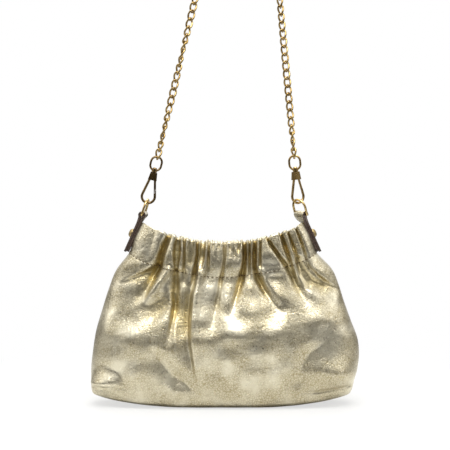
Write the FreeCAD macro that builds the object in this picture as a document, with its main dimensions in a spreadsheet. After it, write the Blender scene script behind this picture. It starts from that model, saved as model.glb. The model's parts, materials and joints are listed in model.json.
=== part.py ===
"""Chain shoulder bag: a soft gathered leather pouch on a curb-chain strap.

Lengths are in millimetres.  The strap hangs from the origin, at the middle of its top link.
+X runs along the bag's width, +Y from its front to its back, and +Z is up.
"""
import FreeCAD
import Part
import math
import os
import Sketcher
from FreeCAD import Placement, Rotation, Vector

# Driving sizes: alias, value, meaning
SIZES = (
    ("link_wire", 1.8, "wire of a curb link"),
    ("link_pitch", 7.5, "length that one link adds to the strap"),
    ("link_width", 7.4, "outer width of a link"),
    ("link_gap", 0.35, "play between two links in a row"),
    ("link_bow_twist", 50, "degrees that each end bow is turned about the link"),
    ("drape_links", 3, "links each side of the top link that bend over the hook"),
    ("drape_step", 21, "degrees that each of those links turns down"),
    ("left_links", 37, "links in the straight left run"),
    ("right_links", 36, "links in the straight right run"),
    ("top_twist", 160.5, "degrees that the top link is turned about its length"),
    ("left_twist", 17.56, "degrees of twist per link down the left run"),
    ("right_twist", 5.5, "degrees of twist per link down the right run"),
    ("left_end_twist", 17.56, "degrees of twist per link just above the left eye"),
    ("right_end_twist", 21.5, "degrees of twist per link just above the right eye"),
    ("end_links", 4, "links just above an eye that take its own twist"),
    ("eye_wire", 2.0, "wire of the swivel eye"),
    ("left_eye_turn", 15, "degrees that the left eye is turned about its run"),
    ("right_eye_turn", -10, "degrees that the right eye is turned about its run"),
    ("eye_width", 12.6, "outer width of the swivel eye"),
    ("eye_height", 15.4, "outer height of the swivel eye's loop"),
    ("boss_diameter", 5.2, "boss under the eye, which holds the hook's post"),
    ("boss_height", 3.2, "height of that boss"),
    ("swivel_play", 0.2, "end play of the hook in the boss"),
    ("running_clearance", 0.05, "radial clearance of a turning pin or post"),
    ("hook_wire", 2.4, "wire of the hook"),
    ("bow_radius", 6.2, "bow of the hook, to the middle of its wire"),
    ("leg_height", 22.3, "hook from the bow's wire to the foot of the head"),
    ("leg_spread", 2.7, "half the distance between the legs at the head"),
    ("head_height", 7.6, "head of the hook"),
    ("head_foot_width", 8.4, "width of the head at its foot"),
    ("head_top_width", 6.2, "width of the head at its top"),
    ("head_depth", 4.6, "thickness of the head"),
    ("post_diameter", 2.6, "swivel post on the head"),
    ("peen_diameter", 4.4, "peened end of the post"),
    ("peen_height", 1.0, "thickness of the peened end"),
    ("gate_slot", 3.1, "width of the slot in the head"),
    ("gate_bar", 2.2, "diameter of the gate's bar"),
    ("gate_knuckle", 1.75, "radius of the gate's knuckle"),
    ("gate_knuckle_width", 1.3, "width of the gate's knuckle"),
    ("gate_pivot_rise", 3.4, "pivot above the foot of the head"),
    ("gate_opening", 25, "degrees that the gate opens"),
    ("gate_lap", 3.0, "length of the lap between the gate and the nose"),
    ("gate_gap", 0.3, "gap at the lap"),
    ("nose_height", 13.6, "top of the nose above the bow's wire"),
    ("pin_diameter", 1.6, "gate pin"),
    ("spring_wire", 0.36, "wire of the gate's torsion spring"),
    ("spring_radius", 1.22, "coil radius of that spring, to the middle of its wire"),
    ("spring_turns", 2, "turns of that spring"),
    ("spring_leg", 2.6, "lower leg of that spring"),
    ("left_hook_turn", 0, "degrees that the left hook is turned on its swivel"),
    ("right_hook_turn", 28, "degrees that the right hook is turned on its swivel"),
    ("ring_wire", 2.2, "wire of the D-ring"),
    ("ring_width", 18.2, "outer width of the D-ring"),
    ("ring_height", 17.4, "outer height of the D-ring"),
    ("ring_corner", 1.6, "bend of the D-ring's corners, to the middle of its wire"),
    ("ring_hook_gap", 0.95, "play between the D-ring and the hook"),
    ("left_ring_turn", 8, "degrees that the left D-ring is turned about Z"),
    ("right_ring_turn", 42, "degrees that the right D-ring is turned about Z"),
    ("ring_lean", 18, "degrees that a D-ring leans towards the bag's middle"),
    ("hook_inset", 5.2, "hook inside the mouth's corner, along X"),
    ("hook_rise", 21.0, "hook above the mouth's corner"),
    ("tab_width", 13, "width of the side tab"),
    ("tab_layer", 2.4, "thickness of the tab's leather, which lies double"),
    ("tab_bore_play", 0.3, "radial play of the D-ring in the tab's loop"),
    ("tab_clearance", 0.3, "tab from the bag's side"),
    ("tab_foot_rise", 1, "lower end of the tab above the band's foot"),
    ("tab_neck_gap", 0.6, "straight tab above the mouth's corner"),
    ("rivet_rise", 16, "rivet above the band's foot"),
    ("rivet_dome", 8.5, "diameter of the rivet's dome"),
    ("rivet_dome_height", 3.0, "height of the rivet's dome"),
    ("rivet_shank", 3.0, "shank of the rivet"),
    ("rivet_cap", 8.0, "diameter of the rivet's inner cap"),
    ("rivet_cap_height", 1.2, "thickness of that cap"),
    ("leather", 1.4, "thickness of the bag's leather"),
    ("base_half_width", 108, "half width at the underside"),
    ("base_half_depth", 30, "half depth at the underside"),
    ("base_half_side", 19, "half of the side's width at the underside"),
    ("heel_rise", 14, "from the underside to where the wall turns up"),
    ("heel_half_width", 122.3, "half width there"),
    ("heel_half_depth", 38, "half depth there"),
    ("heel_half_side", 22, "half of the side's width there"),
    ("belly_rise", 29, "from there to the widest place"),
    ("belly_half_width", 127, "half width there"),
    ("belly_half_depth", 41, "half depth there"),
    ("belly_half_side", 21, "half of the side's width there"),
    ("waist_rise", 53, "from there to where the sides run in"),
    ("waist_half_width", 115.5, "half width there"),
    ("waist_half_depth", 35, "half depth there"),
    ("waist_half_side", 14.5, "half of the side's width there"),
    ("shoulder_rise", 34, "from there to just under the gathered band"),
    ("shoulder_half_width", 101, "half width there"),
    ("shoulder_half_depth", 27.5, "half depth there"),
    ("shoulder_half_side", 10, "half of the side's width there"),
    ("seam_rise", 16, "from there to the foot of the gathered band at its corners"),
    ("seam_half_width", 89.2, "half width there"),
    ("seam_half_depth", 23, "half depth there"),
    ("seam_half_side", 8.8, "half of the side's width there"),
    ("band_rise", 26, "from there to the corner of the mouth"),
    ("mouth_half_width", 77.5, "half width there"),
    ("mouth_half_depth", 17.5, "half depth there"),
    ("mouth_half_side", 8.4, "half of the side's width there"),
    ("seam_sag", 24, "foot of the band, lower at the middle than at its corners"),
    ("mouth_sag", 18, "edge of the mouth, lower at the middle than at its corners"),
    ("gather_depth", 4.6, "depth of a gather at the band's foot"),
    ("gather_radius", 4.6, "round of a gather at the band's foot"),
    ("gather_spread", 8, "round of a gather where it fades out"),
    ("crease_depth", 1.4, "depth of a crease in the belly at its ends"),
    ("crease_radius", 7, "round of such a crease"),
    ("channel", 2.8, "room for the elastic inside the band"),
    ("channel_margin", 3.0, "sewn strip under the elastic"),
    ("band_half_length", 58, "half of the length that is doubled over the elastic"),
    ("elastic_thickness", 1.2, "thickness of the elastic"),
    ("cloth_gap", 0.3, "play between two layers of cloth or leather"),
    ("lining_thickness", 0.6, "thickness of the lining"),
    ("board_thickness", 2.0, "stiff board over the base"),
    ("board_inset", 3.5, "board inside the bag's wall"),
    ("pocket_half_width", 52, "half width of the slip pocket"),
    ("pocket_foot", 42, "lower edge of the slip pocket"),
    ("pocket_height", 64, "height of the slip pocket"),
    ("snap_rise", 17, "magnetic snap above the band's foot at the middle"),
    ("snap_diameter", 14, "diameter of the snap's halves"),
    ("snap_thickness", 2.6, "thickness of a snap half"),
    ("snap_lip", 1.2, "lip round the socket"),
    ("snap_post", 5.6, "diameter of the snap's post"),
    ("snap_post_height", 1.8, "height of that post"),
    ("snap_shank", 3.0, "shank of a snap half"),
    ("washer_diameter", 11, "washer behind a snap half"),
    ("washer_thickness", 0.5, "thickness of that washer"),
)

# Heights above the floor that follow from the driving sizes
HEIGHTS = (
    ("base_height", "=0", "underside of the bag"),
    ("heel_height", "=heel_rise", "where the wall turns up"),
    ("belly_height", "=heel_height + belly_rise", "widest place"),
    ("waist_height", "=belly_height + waist_rise", "where the sides run in"),
    ("shoulder_height", "=waist_height + shoulder_rise", "just under the gathered band"),
    ("seam_height", "=shoulder_height + seam_rise", "foot of the band at its corners"),
    ("seam_middle_height", "=seam_height - seam_sag", "foot of the band at the middle"),
    ("mouth_height", "=seam_height + band_rise", "corner of the mouth"),
    ("mouth_middle_height", "=mouth_height - mouth_sag", "edge of the mouth at the middle"),
    ("tab_foot_height", "=seam_height + tab_foot_rise", "lower end of the tab"),
    ("rivet_height", "=seam_height + rivet_rise", "rivet"),
    ("snap_height", "=seam_middle_height + snap_rise", "magnetic snap"),
    ("pocket_top", "=pocket_foot + pocket_height", "upper edge of the slip pocket"),
)

doc = FreeCAD.newDocument("chain_shoulder_bag")
sheet = doc.addObject("Spreadsheet::Sheet", "Sizes")
for row, (alias, value, meaning) in enumerate(SIZES + HEIGHTS, start=1):
    sheet.set(f"A{row}", meaning)
    sheet.set(f"B{row}", str(value))
    sheet.setAlias(f"B{row}", alias)
doc.recompute()

SIDES = {"left": -1, "right": 1}
STATIONS = ("base", "heel", "belly", "waist", "shoulder", "seam")
BAND_SHARES = (0.5, 1.0, 1.4)
# Ends of the folds on the front, as shares of seam_half_width across and of seam_height up
GATHERS = (
    ((-0.73, 0.97), (-0.92, 0.71)),
    ((-0.49, 0.93), (-0.57, 0.57)),
    ((-0.33, 0.92), (-0.33, 0.30)),
    ((-0.02, 0.91), (-0.12, 0.52)),
    ((0.21, 0.91), (0.07, 0.57)),
    ((0.36, 0.92), (0.62, 0.60)),
    ((0.75, 0.97), (0.97, 0.65)),
)
CREASES = (
    ((-0.78, 0.41), (-0.28, 0.09)),
    ((0.96, 0.41), (0.86, 0.09)),
)
FAR = 400.0
nodes = []


def size(alias):
    """A driving size from the sheet."""
    return float(sheet.get(alias))


def add(kind, name, **expressions):
    """A document object whose properties are bound to cells of the sheet."""
    obj = doc.addObject(kind, name)
    obj.Label = name
    for prop, expression in expressions.items():
        obj.setExpression(prop, expression)
    return obj


def feature(name, shape, placement=None):
    """A sub-part with a shape of its own."""
    obj = add("Part::Feature", name)
    obj.Shape = shape
    if placement is not None:
        obj.Placement = placement
    return obj


def node(obj, placement=None):
    """Marks an object as a piece of the bag and puts it in its place."""
    if placement is not None:
        obj.Placement = placement
    nodes.append(obj)
    return obj


def frame_of(origin, along_x, along_z):
    """The placement that turns local X and Z into two directions at right angles."""
    return Placement(origin, Rotation(along_x, along_z.cross(along_x), along_z, "ZXY"))


# Turned and padded bodies: a profile is a list of (x, y) pairs of expressions

def draw(sketch, profile):
    """Draws a closed outline whose corners are bound to the sheet."""
    corners = [(sketch.evalExpression(x), sketch.evalExpression(y)) for x, y in profile]
    count = len(corners)
    for i, corner in enumerate(corners):
        end = corners[(i + 1) % count]
        sketch.addGeometry(Part.LineSegment(Vector(*corner, 0), Vector(*end, 0)), False)
    for i in range(count):
        sketch.addConstraint(Sketcher.Constraint("Coincident", i, 2, (i + 1) % count, 1))
    for i, (corner, texts) in enumerate(zip(corners, profile)):
        for kind, value, text, axis in zip(("DistanceX", "DistanceY"), corner, texts, (-2, -1)):
            if text == "0":
                sketch.addConstraint(Sketcher.Constraint("PointOnObject", i, 1, axis))
            else:
                number = sketch.addConstraint(Sketcher.Constraint(kind, -1, 1, i, 1, value))
                sketch.setExpression(f"Constraints[{number}]", text)


def sketch_on(body, role):
    """A sketch on one of a body's own origin planes."""
    sketch = body.newObject("Sketcher::SketchObject", body.Name + "_sketch")
    plane = next(f for f in body.Origin.OriginFeatures if f.Role == role)
    sketch.AttachmentSupport = (plane, [""])
    sketch.MapMode = "FlatFace"
    return sketch


def turned(name, profile):
    """A body turned about its Z axis."""
    body = add("PartDesign::Body", name)
    sketch = sketch_on(body, "XZ_Plane")
    draw(sketch, profile)
    revolution = body.newObject("PartDesign::Revolution", name + "_turning")
    revolution.Profile = sketch
    revolution.ReferenceAxis = (sketch, ["V_Axis"])
    return body


def padded(name, profile, length):
    """A body made by padding a profile in the XZ plane, half to each side."""
    body = add("PartDesign::Body", name)
    sketch = sketch_on(body, "XZ_Plane")
    draw(sketch, profile)
    pad = body.newObject("PartDesign::Pad", name + "_pad")
    pad.Profile = sketch
    pad.SideType = "Symmetric"
    pad.setExpression("Length", length)
    return body


def cylinder(name, radius, height, placement):
    """A round bar or hole bound to the sheet, with Z along its axis."""
    obj = add("Part::Cylinder", name, Radius=radius, Height=height)
    obj.Placement = placement
    return obj


def fuse(name, *shapes):
    obj = add("Part::MultiFuse", name)
    obj.Shapes = list(shapes)
    return obj


def cut(name, base, *tools):
    """A base less one or more tools."""
    obj = add("Part::Cut", name)
    obj.Base = base
    obj.Tool = tools[0] if len(tools) == 1 else fuse(name + "_tools", *tools)
    return obj


def wire_sweep(name, path, start, along, diameter):
    """A round wire bent along a path, from the point and direction where the path starts."""
    spine = feature(name + "_path", path)
    section = add("Part::Circle", name + "_section", Radius=diameter + " / 2")
    section.Placement = Placement(start, Rotation(Vector(0, 0, 1), along))
    sweep = add("Part::Sweep", name)
    sweep.Sections = [section]
    sweep.Spine = (spine, [f"Edge{i + 1}" for i in range(len(path.Edges))])
    sweep.Solid = True
    return sweep


# Arcs in space that carry the curb links and the coils

def biarc(start, start_along, end, end_along):
    """Two arcs that leave one point and reach another along the given directions."""
    chord = end - start
    both = start_along + end_along
    a = 2 * start_along.dot(end_along) - 2
    b = -2 * chord.dot(both)
    c = chord.dot(chord)
    reach = (-b - math.sqrt(b * b - 4 * a * c)) / (2 * a) if abs(a) > 1e-9 else -c / b
    first = start + start_along * reach
    second = end - end_along * reach
    middle = (first + second) * 0.5
    return arc_to(start, first, middle) + arc_to(middle, second, end)


def arc_to(start, corner, end):
    """The arc between two points whose tangents meet at a corner."""
    half = (end + start) * 0.5
    weight = (start - half).Length / (corner - start).Length
    crown = (half + corner * weight) * (1 / (1 + weight))
    return [(start, crown, end)]


def arc_edges(arcs):
    return [Part.Arc(*points).toShape() for points in arcs]


def pipe(arcs, diameter):
    """A solid round wire along arcs that run on smoothly."""
    path = Part.Wire(arc_edges(arcs))
    first = Part.Arc(*arcs[0])
    along = first.tangent(first.FirstParameter)[0]
    section = Part.Wire(Part.Circle(arcs[0][0], along, diameter / 2).toShape())
    shell = Part.BRepOffsetAPI.MakePipeShell(path)
    shell.add(section)
    shell.build()
    shell.makeSolid()
    return shell.shape()


# The strap

def curb_link():
    """One curb link at the origin, with its length along Z and its end bows turned both ways."""
    twist = math.radians(size("link_bow_twist"))
    half_length = (size("link_pitch") + size("link_wire") + size("link_gap")) / 2
    half_width = (size("link_width") - size("link_wire")) / 2
    top = Vector(0, 0, half_length)
    top_along = Vector(math.cos(twist), math.sin(twist), 0)
    side = Vector(half_width, 0, 0)
    side_along = Vector(0, -half_width * twist / half_length, -1).normalize()
    quarter = biarc(top, top_along, side, side_along)
    below = [tuple(Vector(p.x, -p.y, -p.z) for p in reversed(arc)) for arc in reversed(quarter)]
    half = quarter + below
    other = [tuple(Vector(-p.x, -p.y, p.z) for p in reversed(arc)) for arc in reversed(half)]
    halves = [pipe(half, size("link_wire")), pipe(other, size("link_wire"))]
    return halves[0].fuse(halves[1]).removeSplitter().Solids[0]


def link_place(start, end, twist):
    """The placement of a link between two joints of the strap."""
    up = (start - end).normalize()
    flat = Vector(0, 1, 0).cross(up).normalize()
    turn = Rotation(Vector(0, 0, 1), twist)
    return frame_of((start + end) * 0.5, flat, up) * Placement(Vector(), turn)


half_spacing = size("mouth_half_width") - size("hook_inset")
hook_level = size("mouth_height") + size("hook_rise")
pitch = size("link_pitch")
eye_radius = (size("eye_width") - size("eye_wire")) / 2
boss_foot = size("leg_height") + size("head_height") + size("swivel_play")
eye_foot = boss_foot + size("boss_height") / 2
eye_top = eye_foot + size("eye_height") - size("eye_wire")
# the eye's wire lies inside the last link's bow
eye_overlap = (size("eye_wire") + size("link_gap")) / 2


def drape():
    """The joints from the top link's end to the start of a straight run, on the +X side."""
    points = [Vector(pitch / 2, 0, 0)]
    for i in range(int(size("drape_links"))):
        tilt = math.radians(size("drape_step") * (i + 1))
        points.append(points[-1] + Vector(math.cos(tilt), 0, -math.sin(tilt)) * pitch)
    return points


def run_reach(side):
    """From the start of a straight run to the wire of its hook's bow."""
    return size(side + "_links") * pitch - eye_overlap + eye_top


shoulder_point = drape()[-1]
spread = 2 * (half_spacing - shoulder_point.x)
left_out = (run_reach("right") ** 2 - run_reach("left") ** 2 - spread ** 2) / (2 * spread)
run_drop = math.sqrt(run_reach("left") ** 2 - left_out ** 2)
left_hook_x = left_out - shoulder_point.x
hook_z = shoulder_point.z - run_drop
bag_place = Placement(Vector(left_hook_x + half_spacing, 0, hook_z - hook_level), Rotation())
hook_point = {s: Vector(left_hook_x + (half_spacing * 2 if s == "right" else 0), 0, hook_z) for s in SIDES}
run_start = {s: Vector(SIDES[s] * shoulder_point.x, 0, shoulder_point.z) for s in SIDES}
run_up = {s: (run_start[s] - hook_point[s]).normalize() for s in SIDES}


def strap_joints(side):
    """Every joint of the strap on one side, from the top link down to the swivel eye."""
    joints = [Vector(SIDES[side] * p.x, 0, p.z) for p in drape()]
    for _ in range(int(size(side + "_links"))):
        joints.append(joints[-1] - run_up[side] * pitch)
    return joints


def make_strap():
    link = curb_link()
    length = pitch + size("link_wire") * 2 + size("link_gap")
    print(f"curb link {length:.2f} long, volume {link.Volume:.2f}, valid {link.isValid()}")
    top = link.copy()
    top.Placement = link_place(Vector(pitch / 2, 0, 0), Vector(-pitch / 2, 0, 0), size("top_twist"))
    node(feature("hang_link", top))
    for side in SIDES:
        joints = strap_joints(side)
        links = []
        twist = -SIDES[side] * size("top_twist")
        for i in range(len(joints) - 1):
            near_eye = len(joints) - 1 - i <= size("end_links")
            twist += size(side + ("_end_twist" if near_eye else "_twist"))
            copy = link.copy()
            copy.Placement = link_place(joints[i], joints[i + 1], twist)
            links.append(copy)
        node(feature(side + "_chain", Part.makeCompound(links)))


# Swivel hooks, each drawn upright with the bow's wire through its origin

def hook_frame(side, turn):
    """The placement of a swivel hook or eye that is turned about its run."""
    up = run_up[side]
    across = Vector(0, 1, 0).cross(up).normalize()
    return frame_of(hook_point[side], across, up) * Placement(Vector(), Rotation(Vector(0, 0, 1), size(turn)))


def leg_tangent():
    """The point of the bow where the right leg leaves it, and the leg's direction upwards."""
    top = Vector(size("leg_spread"), 0, size("leg_height"))
    centre = Vector(0, 0, size("bow_radius"))
    to_top = top - centre
    angle = math.atan2(to_top.z, to_top.x) - math.acos(size("bow_radius") / to_top.Length)
    touch = centre + Vector(math.cos(angle), 0, math.sin(angle)) * size("bow_radius")
    return touch, (top - touch).normalize()


def on_leg(height):
    """The point of the right leg's axis at a height above the bow's wire."""
    touch, along = leg_tangent()
    return touch + along * ((height - touch.z) / along.z)


def half_bow(name, sign, top_height):
    """Half of the hook's wire, from the middle of its bow up one leg."""
    touch, _ = leg_tangent()
    centre = Vector(0, 0, size("bow_radius"))
    end = on_leg(top_height)
    middle = (touch - centre + Vector(0, 0, -size("bow_radius"))).normalize() * size("bow_radius") + centre
    mirror = [Vector(sign * p.x, 0, p.z) for p in (middle, touch, end)]
    arc = Part.Arc(Vector(), mirror[0], mirror[1]).toShape()
    leg = Part.LineSegment(mirror[1], mirror[2]).toShape()
    return wire_sweep(name, Part.Wire([arc, leg]), Vector(), Vector(sign, 0, 0), "Sizes.hook_wire")


def pivot():
    return on_leg(size("leg_height") + size("gate_pivot_rise"))


def along_y(point, start):
    """A placement that lays local Z along Y, starting at a given Y."""
    return Placement(Vector(point.x, start, point.z), Rotation(Vector(0, 0, 1), Vector(0, 1, 0)))


def lap_block(name, height, upwards, inward):
    """A block on one side of the right leg's axis, above or below a height along the leg."""
    _, along = leg_tangent()
    across = Vector(0, 1, 0).cross(along).normalize()
    reach = 3 * size("hook_wire")
    block = Part.makeBox(reach, 2 * reach, reach)
    start_x = -reach if inward else 0
    gap = size("gate_gap") / 2
    block.translate(Vector(start_x + (gap if inward else -gap), -reach, 0 if upwards else -reach))
    block.Placement = frame_of(on_leg(height), across, along) * block.Placement
    return feature(name, block)


def make_hook(side):
    """The hook with its head, the swivel post, the slot for the gate and the hole for its pin."""
    name = side + "_hook"
    foot = "Sizes.leg_height"
    top = "Sizes.leg_height + Sizes.head_height"
    head = padded(name + "_head", [
        ("-Sizes.head_foot_width / 2", foot),
        ("Sizes.head_foot_width / 2", foot),
        ("Sizes.head_top_width / 2", top),
        ("-Sizes.head_top_width / 2", top),
    ], "Sizes.head_depth")
    fixed_leg = half_bow(name + "_leg", -1, size("leg_height") + size("hook_wire") / 2)
    nose = half_bow(name + "_nose", 1, size("nose_height"))
    head_top = size("leg_height") + size("head_height")
    post_length = "Sizes.boss_height + 2 * Sizes.swivel_play + Sizes.peen_height"
    post = cylinder(name + "_post", "Sizes.post_diameter / 2", post_length,
                    Placement(Vector(0, 0, head_top), Rotation()))
    peen_foot = head_top + size("boss_height") + 2 * size("swivel_play")
    peen = add("Part::Cone", name + "_peen", Radius1="Sizes.peen_diameter / 2",
               Radius2="Sizes.peen_diameter / 3", Height="Sizes.peen_height")
    peen.Placement = Placement(Vector(0, 0, peen_foot), Rotation())
    blank = fuse(name + "_blank", head, fixed_leg, nose, post, peen)
    at = pivot()
    slot = add("Part::Box", name + "_slot", Width="Sizes.gate_slot",
               Height="Sizes.gate_pivot_rise + Sizes.gate_knuckle + Sizes.gate_gap + Sizes.hook_wire",
               Length="Sizes.head_foot_width")
    _, along = leg_tangent()
    swung = math.atan2(-along.x, along.z) - math.radians(size("gate_opening"))
    slot_inner = at.x + size("gate_pivot_rise") * math.tan(swung)
    slot_inner -= size("gate_bar") / 2 / math.cos(swung) + size("gate_gap")
    slot.Placement = Placement(Vector(slot_inner, -size("gate_slot") / 2,
                                      size("leg_height") - size("hook_wire")), Rotation())
    hole = cylinder(name + "_pin_hole", "Sizes.pin_diameter / 2 + 0.4 * Sizes.running_clearance",
                    "2 * Sizes.head_depth", along_y(at, -size("head_depth")))
    lap = lap_block(name + "_lap", size("nose_height") - size("gate_lap"), True, True)
    node(cut(name, blank, slot, hole, lap), hook_frame(side, side + "_hook_turn"))


def make_gate(side):
    """The sprung gate, its pin and its torsion spring."""
    name = side + "_gate"
    at = pivot()
    _, along = leg_tangent()
    tip = on_leg(size("nose_height") - size("gate_lap") + size("gate_gap"))
    bar = add("Part::Cylinder", name + "_bar", Radius="Sizes.gate_bar / 2")
    bar.Height = (at - tip).Length - size("gate_knuckle") / 2
    bar.Placement = Placement(tip, Rotation(Vector(0, 0, 1), along))
    edge = -size("gate_slot") / 2 + size("running_clearance") * 2
    knuckle = cylinder(name + "_knuckle", "Sizes.gate_knuckle", "Sizes.gate_knuckle_width", along_y(at, edge))
    bore = cylinder(name + "_bore", "Sizes.pin_diameter / 2 + Sizes.running_clearance",
                    "2 * Sizes.head_depth", along_y(at, -size("head_depth")))
    room = cylinder(name + "_spring_room", "Sizes.spring_radius + Sizes.spring_wire + Sizes.gate_gap",
                    "Sizes.head_depth", along_y(at, edge + size("gate_knuckle_width")))
    lap = lap_block(name + "_lap", size("nose_height") + size("gate_gap"), False, False)
    place = hook_frame(side, side + "_hook_turn")
    shape = fuse(name + "_blank", cut(name + "_arm", bar, room), knuckle)
    node(cut(name, shape, bore, lap), place)
    pin = cylinder(name + "_pin", "Sizes.pin_diameter / 2", "Sizes.head_depth", Placement())
    node(pin, place * along_y(at, -size("head_depth") / 2))
    coil_from = edge + size("gate_knuckle_width") + size("running_clearance") * 2 + size("spring_wire") / 2
    node(feature(name + "_spring", torsion_spring(at, coil_from)), place)


def torsion_spring(at, start):
    """A coil round the gate's pin, with one leg up to the head and one down behind the gate."""
    radius = size("spring_radius")
    step = size("spring_wire") * 1.25
    turns = int(size("spring_turns"))

    def on_coil(angle):
        rise = start + step * (angle - math.pi) / (2 * math.pi)
        return Vector(at.x + radius * math.cos(angle), rise, at.z + radius * math.sin(angle))

    def tangent(angle):
        climb = step / (2 * math.pi)
        return Vector(-radius * math.sin(angle), climb, radius * math.cos(angle)).normalize()

    arcs = []
    for i in range(turns * 4):
        one = math.pi + i * math.pi / 2
        two = one + math.pi / 2
        arcs += biarc(on_coil(one), tangent(one), on_coil(two), tangent(two))
    edges = arc_edges(arcs)
    first, last = on_coil(math.pi), on_coil(math.pi + turns * 2 * math.pi)
    head_end = first - tangent(math.pi) * (size("gate_knuckle") - size("spring_wire"))
    foot_end = last + tangent(math.pi) * size("spring_leg")
    edges.insert(0, Part.LineSegment(head_end, first).toShape())
    edges.append(Part.LineSegment(last, foot_end).toShape())
    section = Part.Wire(Part.Circle(head_end, tangent(math.pi), size("spring_wire") / 2).toShape())
    shell = Part.BRepOffsetAPI.MakePipeShell(Part.Wire(edges))
    shell.add(section)
    shell.build()
    shell.makeSolid()
    clear = step - size("spring_wire")
    print(f"gate spring: gap between its turns {clear:.2f}, valid {shell.shape().isValid()}")
    return shell.shape()


def make_eye(side):
    """The swivel eye: a wire loop on a bored boss."""
    name = side + "_swivel_eye"
    low = Vector(0, 0, eye_foot)
    straight = size("eye_height") - size("eye_width")
    low_centre = low + Vector(0, 0, eye_radius)
    high_centre = low_centre + Vector(0, 0, straight)
    out = Vector(eye_radius, 0, 0)
    up = Vector(0, 0, eye_radius)
    loop = Part.Wire([
        Part.Arc(low_centre - up, low_centre + (out - up).normalize() * eye_radius, low_centre + out).toShape(),
        Part.LineSegment(low_centre + out, high_centre + out).toShape(),
        Part.Arc(high_centre + out, high_centre + up, high_centre - out).toShape(),
        Part.LineSegment(high_centre - out, low_centre - out).toShape(),
        Part.Arc(low_centre - out, low_centre - (out + up).normalize() * eye_radius, low_centre - up).toShape(),
    ])
    ring = wire_sweep(name + "_loop", loop, low, Vector(1, 0, 0), "Sizes.eye_wire")
    boss = cylinder(name + "_boss", "Sizes.boss_diameter / 2", "Sizes.boss_height",
                    Placement(Vector(0, 0, boss_foot), Rotation()))
    bore = cylinder(name + "_bore", "Sizes.post_diameter / 2 + Sizes.running_clearance",
                    "3 * Sizes.boss_height", Placement(Vector(0, 0, boss_foot - size("boss_height")), Rotation()))
    node(cut(name, fuse(name + "_blank", ring, boss), bore), hook_frame(side, side + "_eye_turn"))


# D-rings and the tabs that hold them

def ring_axes(side):
    """A D-ring's directions: out of the bag, along its bar, and up the ring."""
    turn = math.radians(size(side + "_ring_turn"))
    lean = math.radians(size("ring_lean"))
    out = Vector(SIDES[side] * math.cos(turn), math.sin(turn), 0)
    up = Vector(0, 0, math.cos(lean)) - out * math.sin(lean)
    bar = Vector(0, 0, 1).cross(out)
    return out, bar, up


def ring_bar(side):
    """The middle of a D-ring's bar, in the strap's frame."""
    _, _, up = ring_axes(side)
    wires = (size("hook_wire") + size("ring_wire")) / 2 + size("ring_hook_gap")
    return hook_point[side] - up * (size("ring_height") - size("ring_wire") - wires)


def make_ring(side):
    """The D-ring: a straight bar in the tab's loop and a round bow through the hook."""
    name = side + "_d_ring"
    half = (size("ring_width") - size("ring_wire")) / 2
    height = size("ring_height") - size("ring_wire")
    bend = size("ring_corner")
    slant = math.sqrt(0.5) * bend
    crown = height - half
    path = Part.Wire([
        Part.LineSegment(Vector(0, 0, 0), Vector(half - bend, 0, 0)).toShape(),
        Part.Arc(Vector(half - bend, 0, 0), Vector(half - bend + slant, 0, bend - slant),
                 Vector(half, 0, bend)).toShape(),
        Part.LineSegment(Vector(half, 0, bend), Vector(half, 0, crown)).toShape(),
        Part.Arc(Vector(half, 0, crown), Vector(0, 0, height), Vector(-half, 0, crown)).toShape(),
        Part.LineSegment(Vector(-half, 0, crown), Vector(-half, 0, bend)).toShape(),
        Part.Arc(Vector(-half, 0, bend), Vector(bend - slant - half, 0, bend - slant),
                 Vector(bend - half, 0, 0)).toShape(),
        Part.LineSegment(Vector(bend - half, 0, 0), Vector(0, 0, 0)).toShape(),
    ])
    _, bar, up = ring_axes(side)
    ring = wire_sweep(name, path, Vector(), Vector(1, 0, 0), "Sizes.ring_wire")
    node(ring, frame_of(ring_bar(side), bar, up))


def side_line(side):
    """The bag's side between the band's foot and the mouth, in the bag's own frame."""
    sign = SIDES[side]
    low = Vector(sign * size("seam_half_width"), 0, size("seam_height"))
    high = Vector(sign * size("mouth_half_width"), 0, size("mouth_height"))
    up = (high - low).normalize()
    out = Vector(sign * up.z, 0, -sign * up.x)
    return low, up, out


def on_side(side, height, outwards):
    """A point beside the bag's side at a height, a distance out from its leather."""
    low, up, out = side_line(side)
    foot = low + out * outwards
    return foot + up * ((height - foot.z) / up.z)


def rectangle(centre, along, across, length, breadth):
    """A closed outline round a centre."""
    corners = [centre + along * (length / 2 * i) + across * (breadth / 2 * j)
               for i, j in ((-1, -1), (1, -1), (1, 1), (-1, 1))]
    return Part.makePolygon(corners + corners[:1])


def make_tab(side):
    """The doubled leather tab: a leg riveted to the bag's side, and a loop round the D-ring's bar."""
    name = side + "_tab"
    width = size("tab_width")
    thick = 2 * size("tab_layer")
    middle = size("tab_clearance") + size("tab_layer")
    _, up, out = side_line(side)
    depth_way = Vector(0, 1, 0)
    foot = on_side(side, size("tab_foot_height"), middle)
    neck = on_side(side, size("mouth_height") + size("tab_neck_gap") + thick / 2, middle)
    leg = Part.makeLoft([rectangle(foot, out, depth_way, thick, width),
                         rectangle(neck, out, depth_way, thick, width)], True, True)
    ring_out, bar, ring_up = ring_axes(side)
    centre = ring_bar(side) - bag_place.Base
    loop_radius = size("ring_wire") / 2 + size("tab_bore_play") + size("tab_layer")
    way = bar if bar.y > 0 else bar * -1
    throat = rectangle(centre, ring_out, way, thick, width)
    twisted = Part.makeLoft([rectangle(neck, out, depth_way, thick, width), throat], True, True)
    loop = Part.makeCylinder(loop_radius, width, centre - bar * (width / 2), bar)
    bore = Part.makeCylinder(size("ring_wire") / 2 + size("tab_bore_play"), 2 * width, centre - bar * width, bar)
    hole = rivet_bore(side)
    shape = leg.fuse([twisted, loop]).removeSplitter().cut(bore).cut(hole)
    node(feature(name, shape), bag_place)


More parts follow.
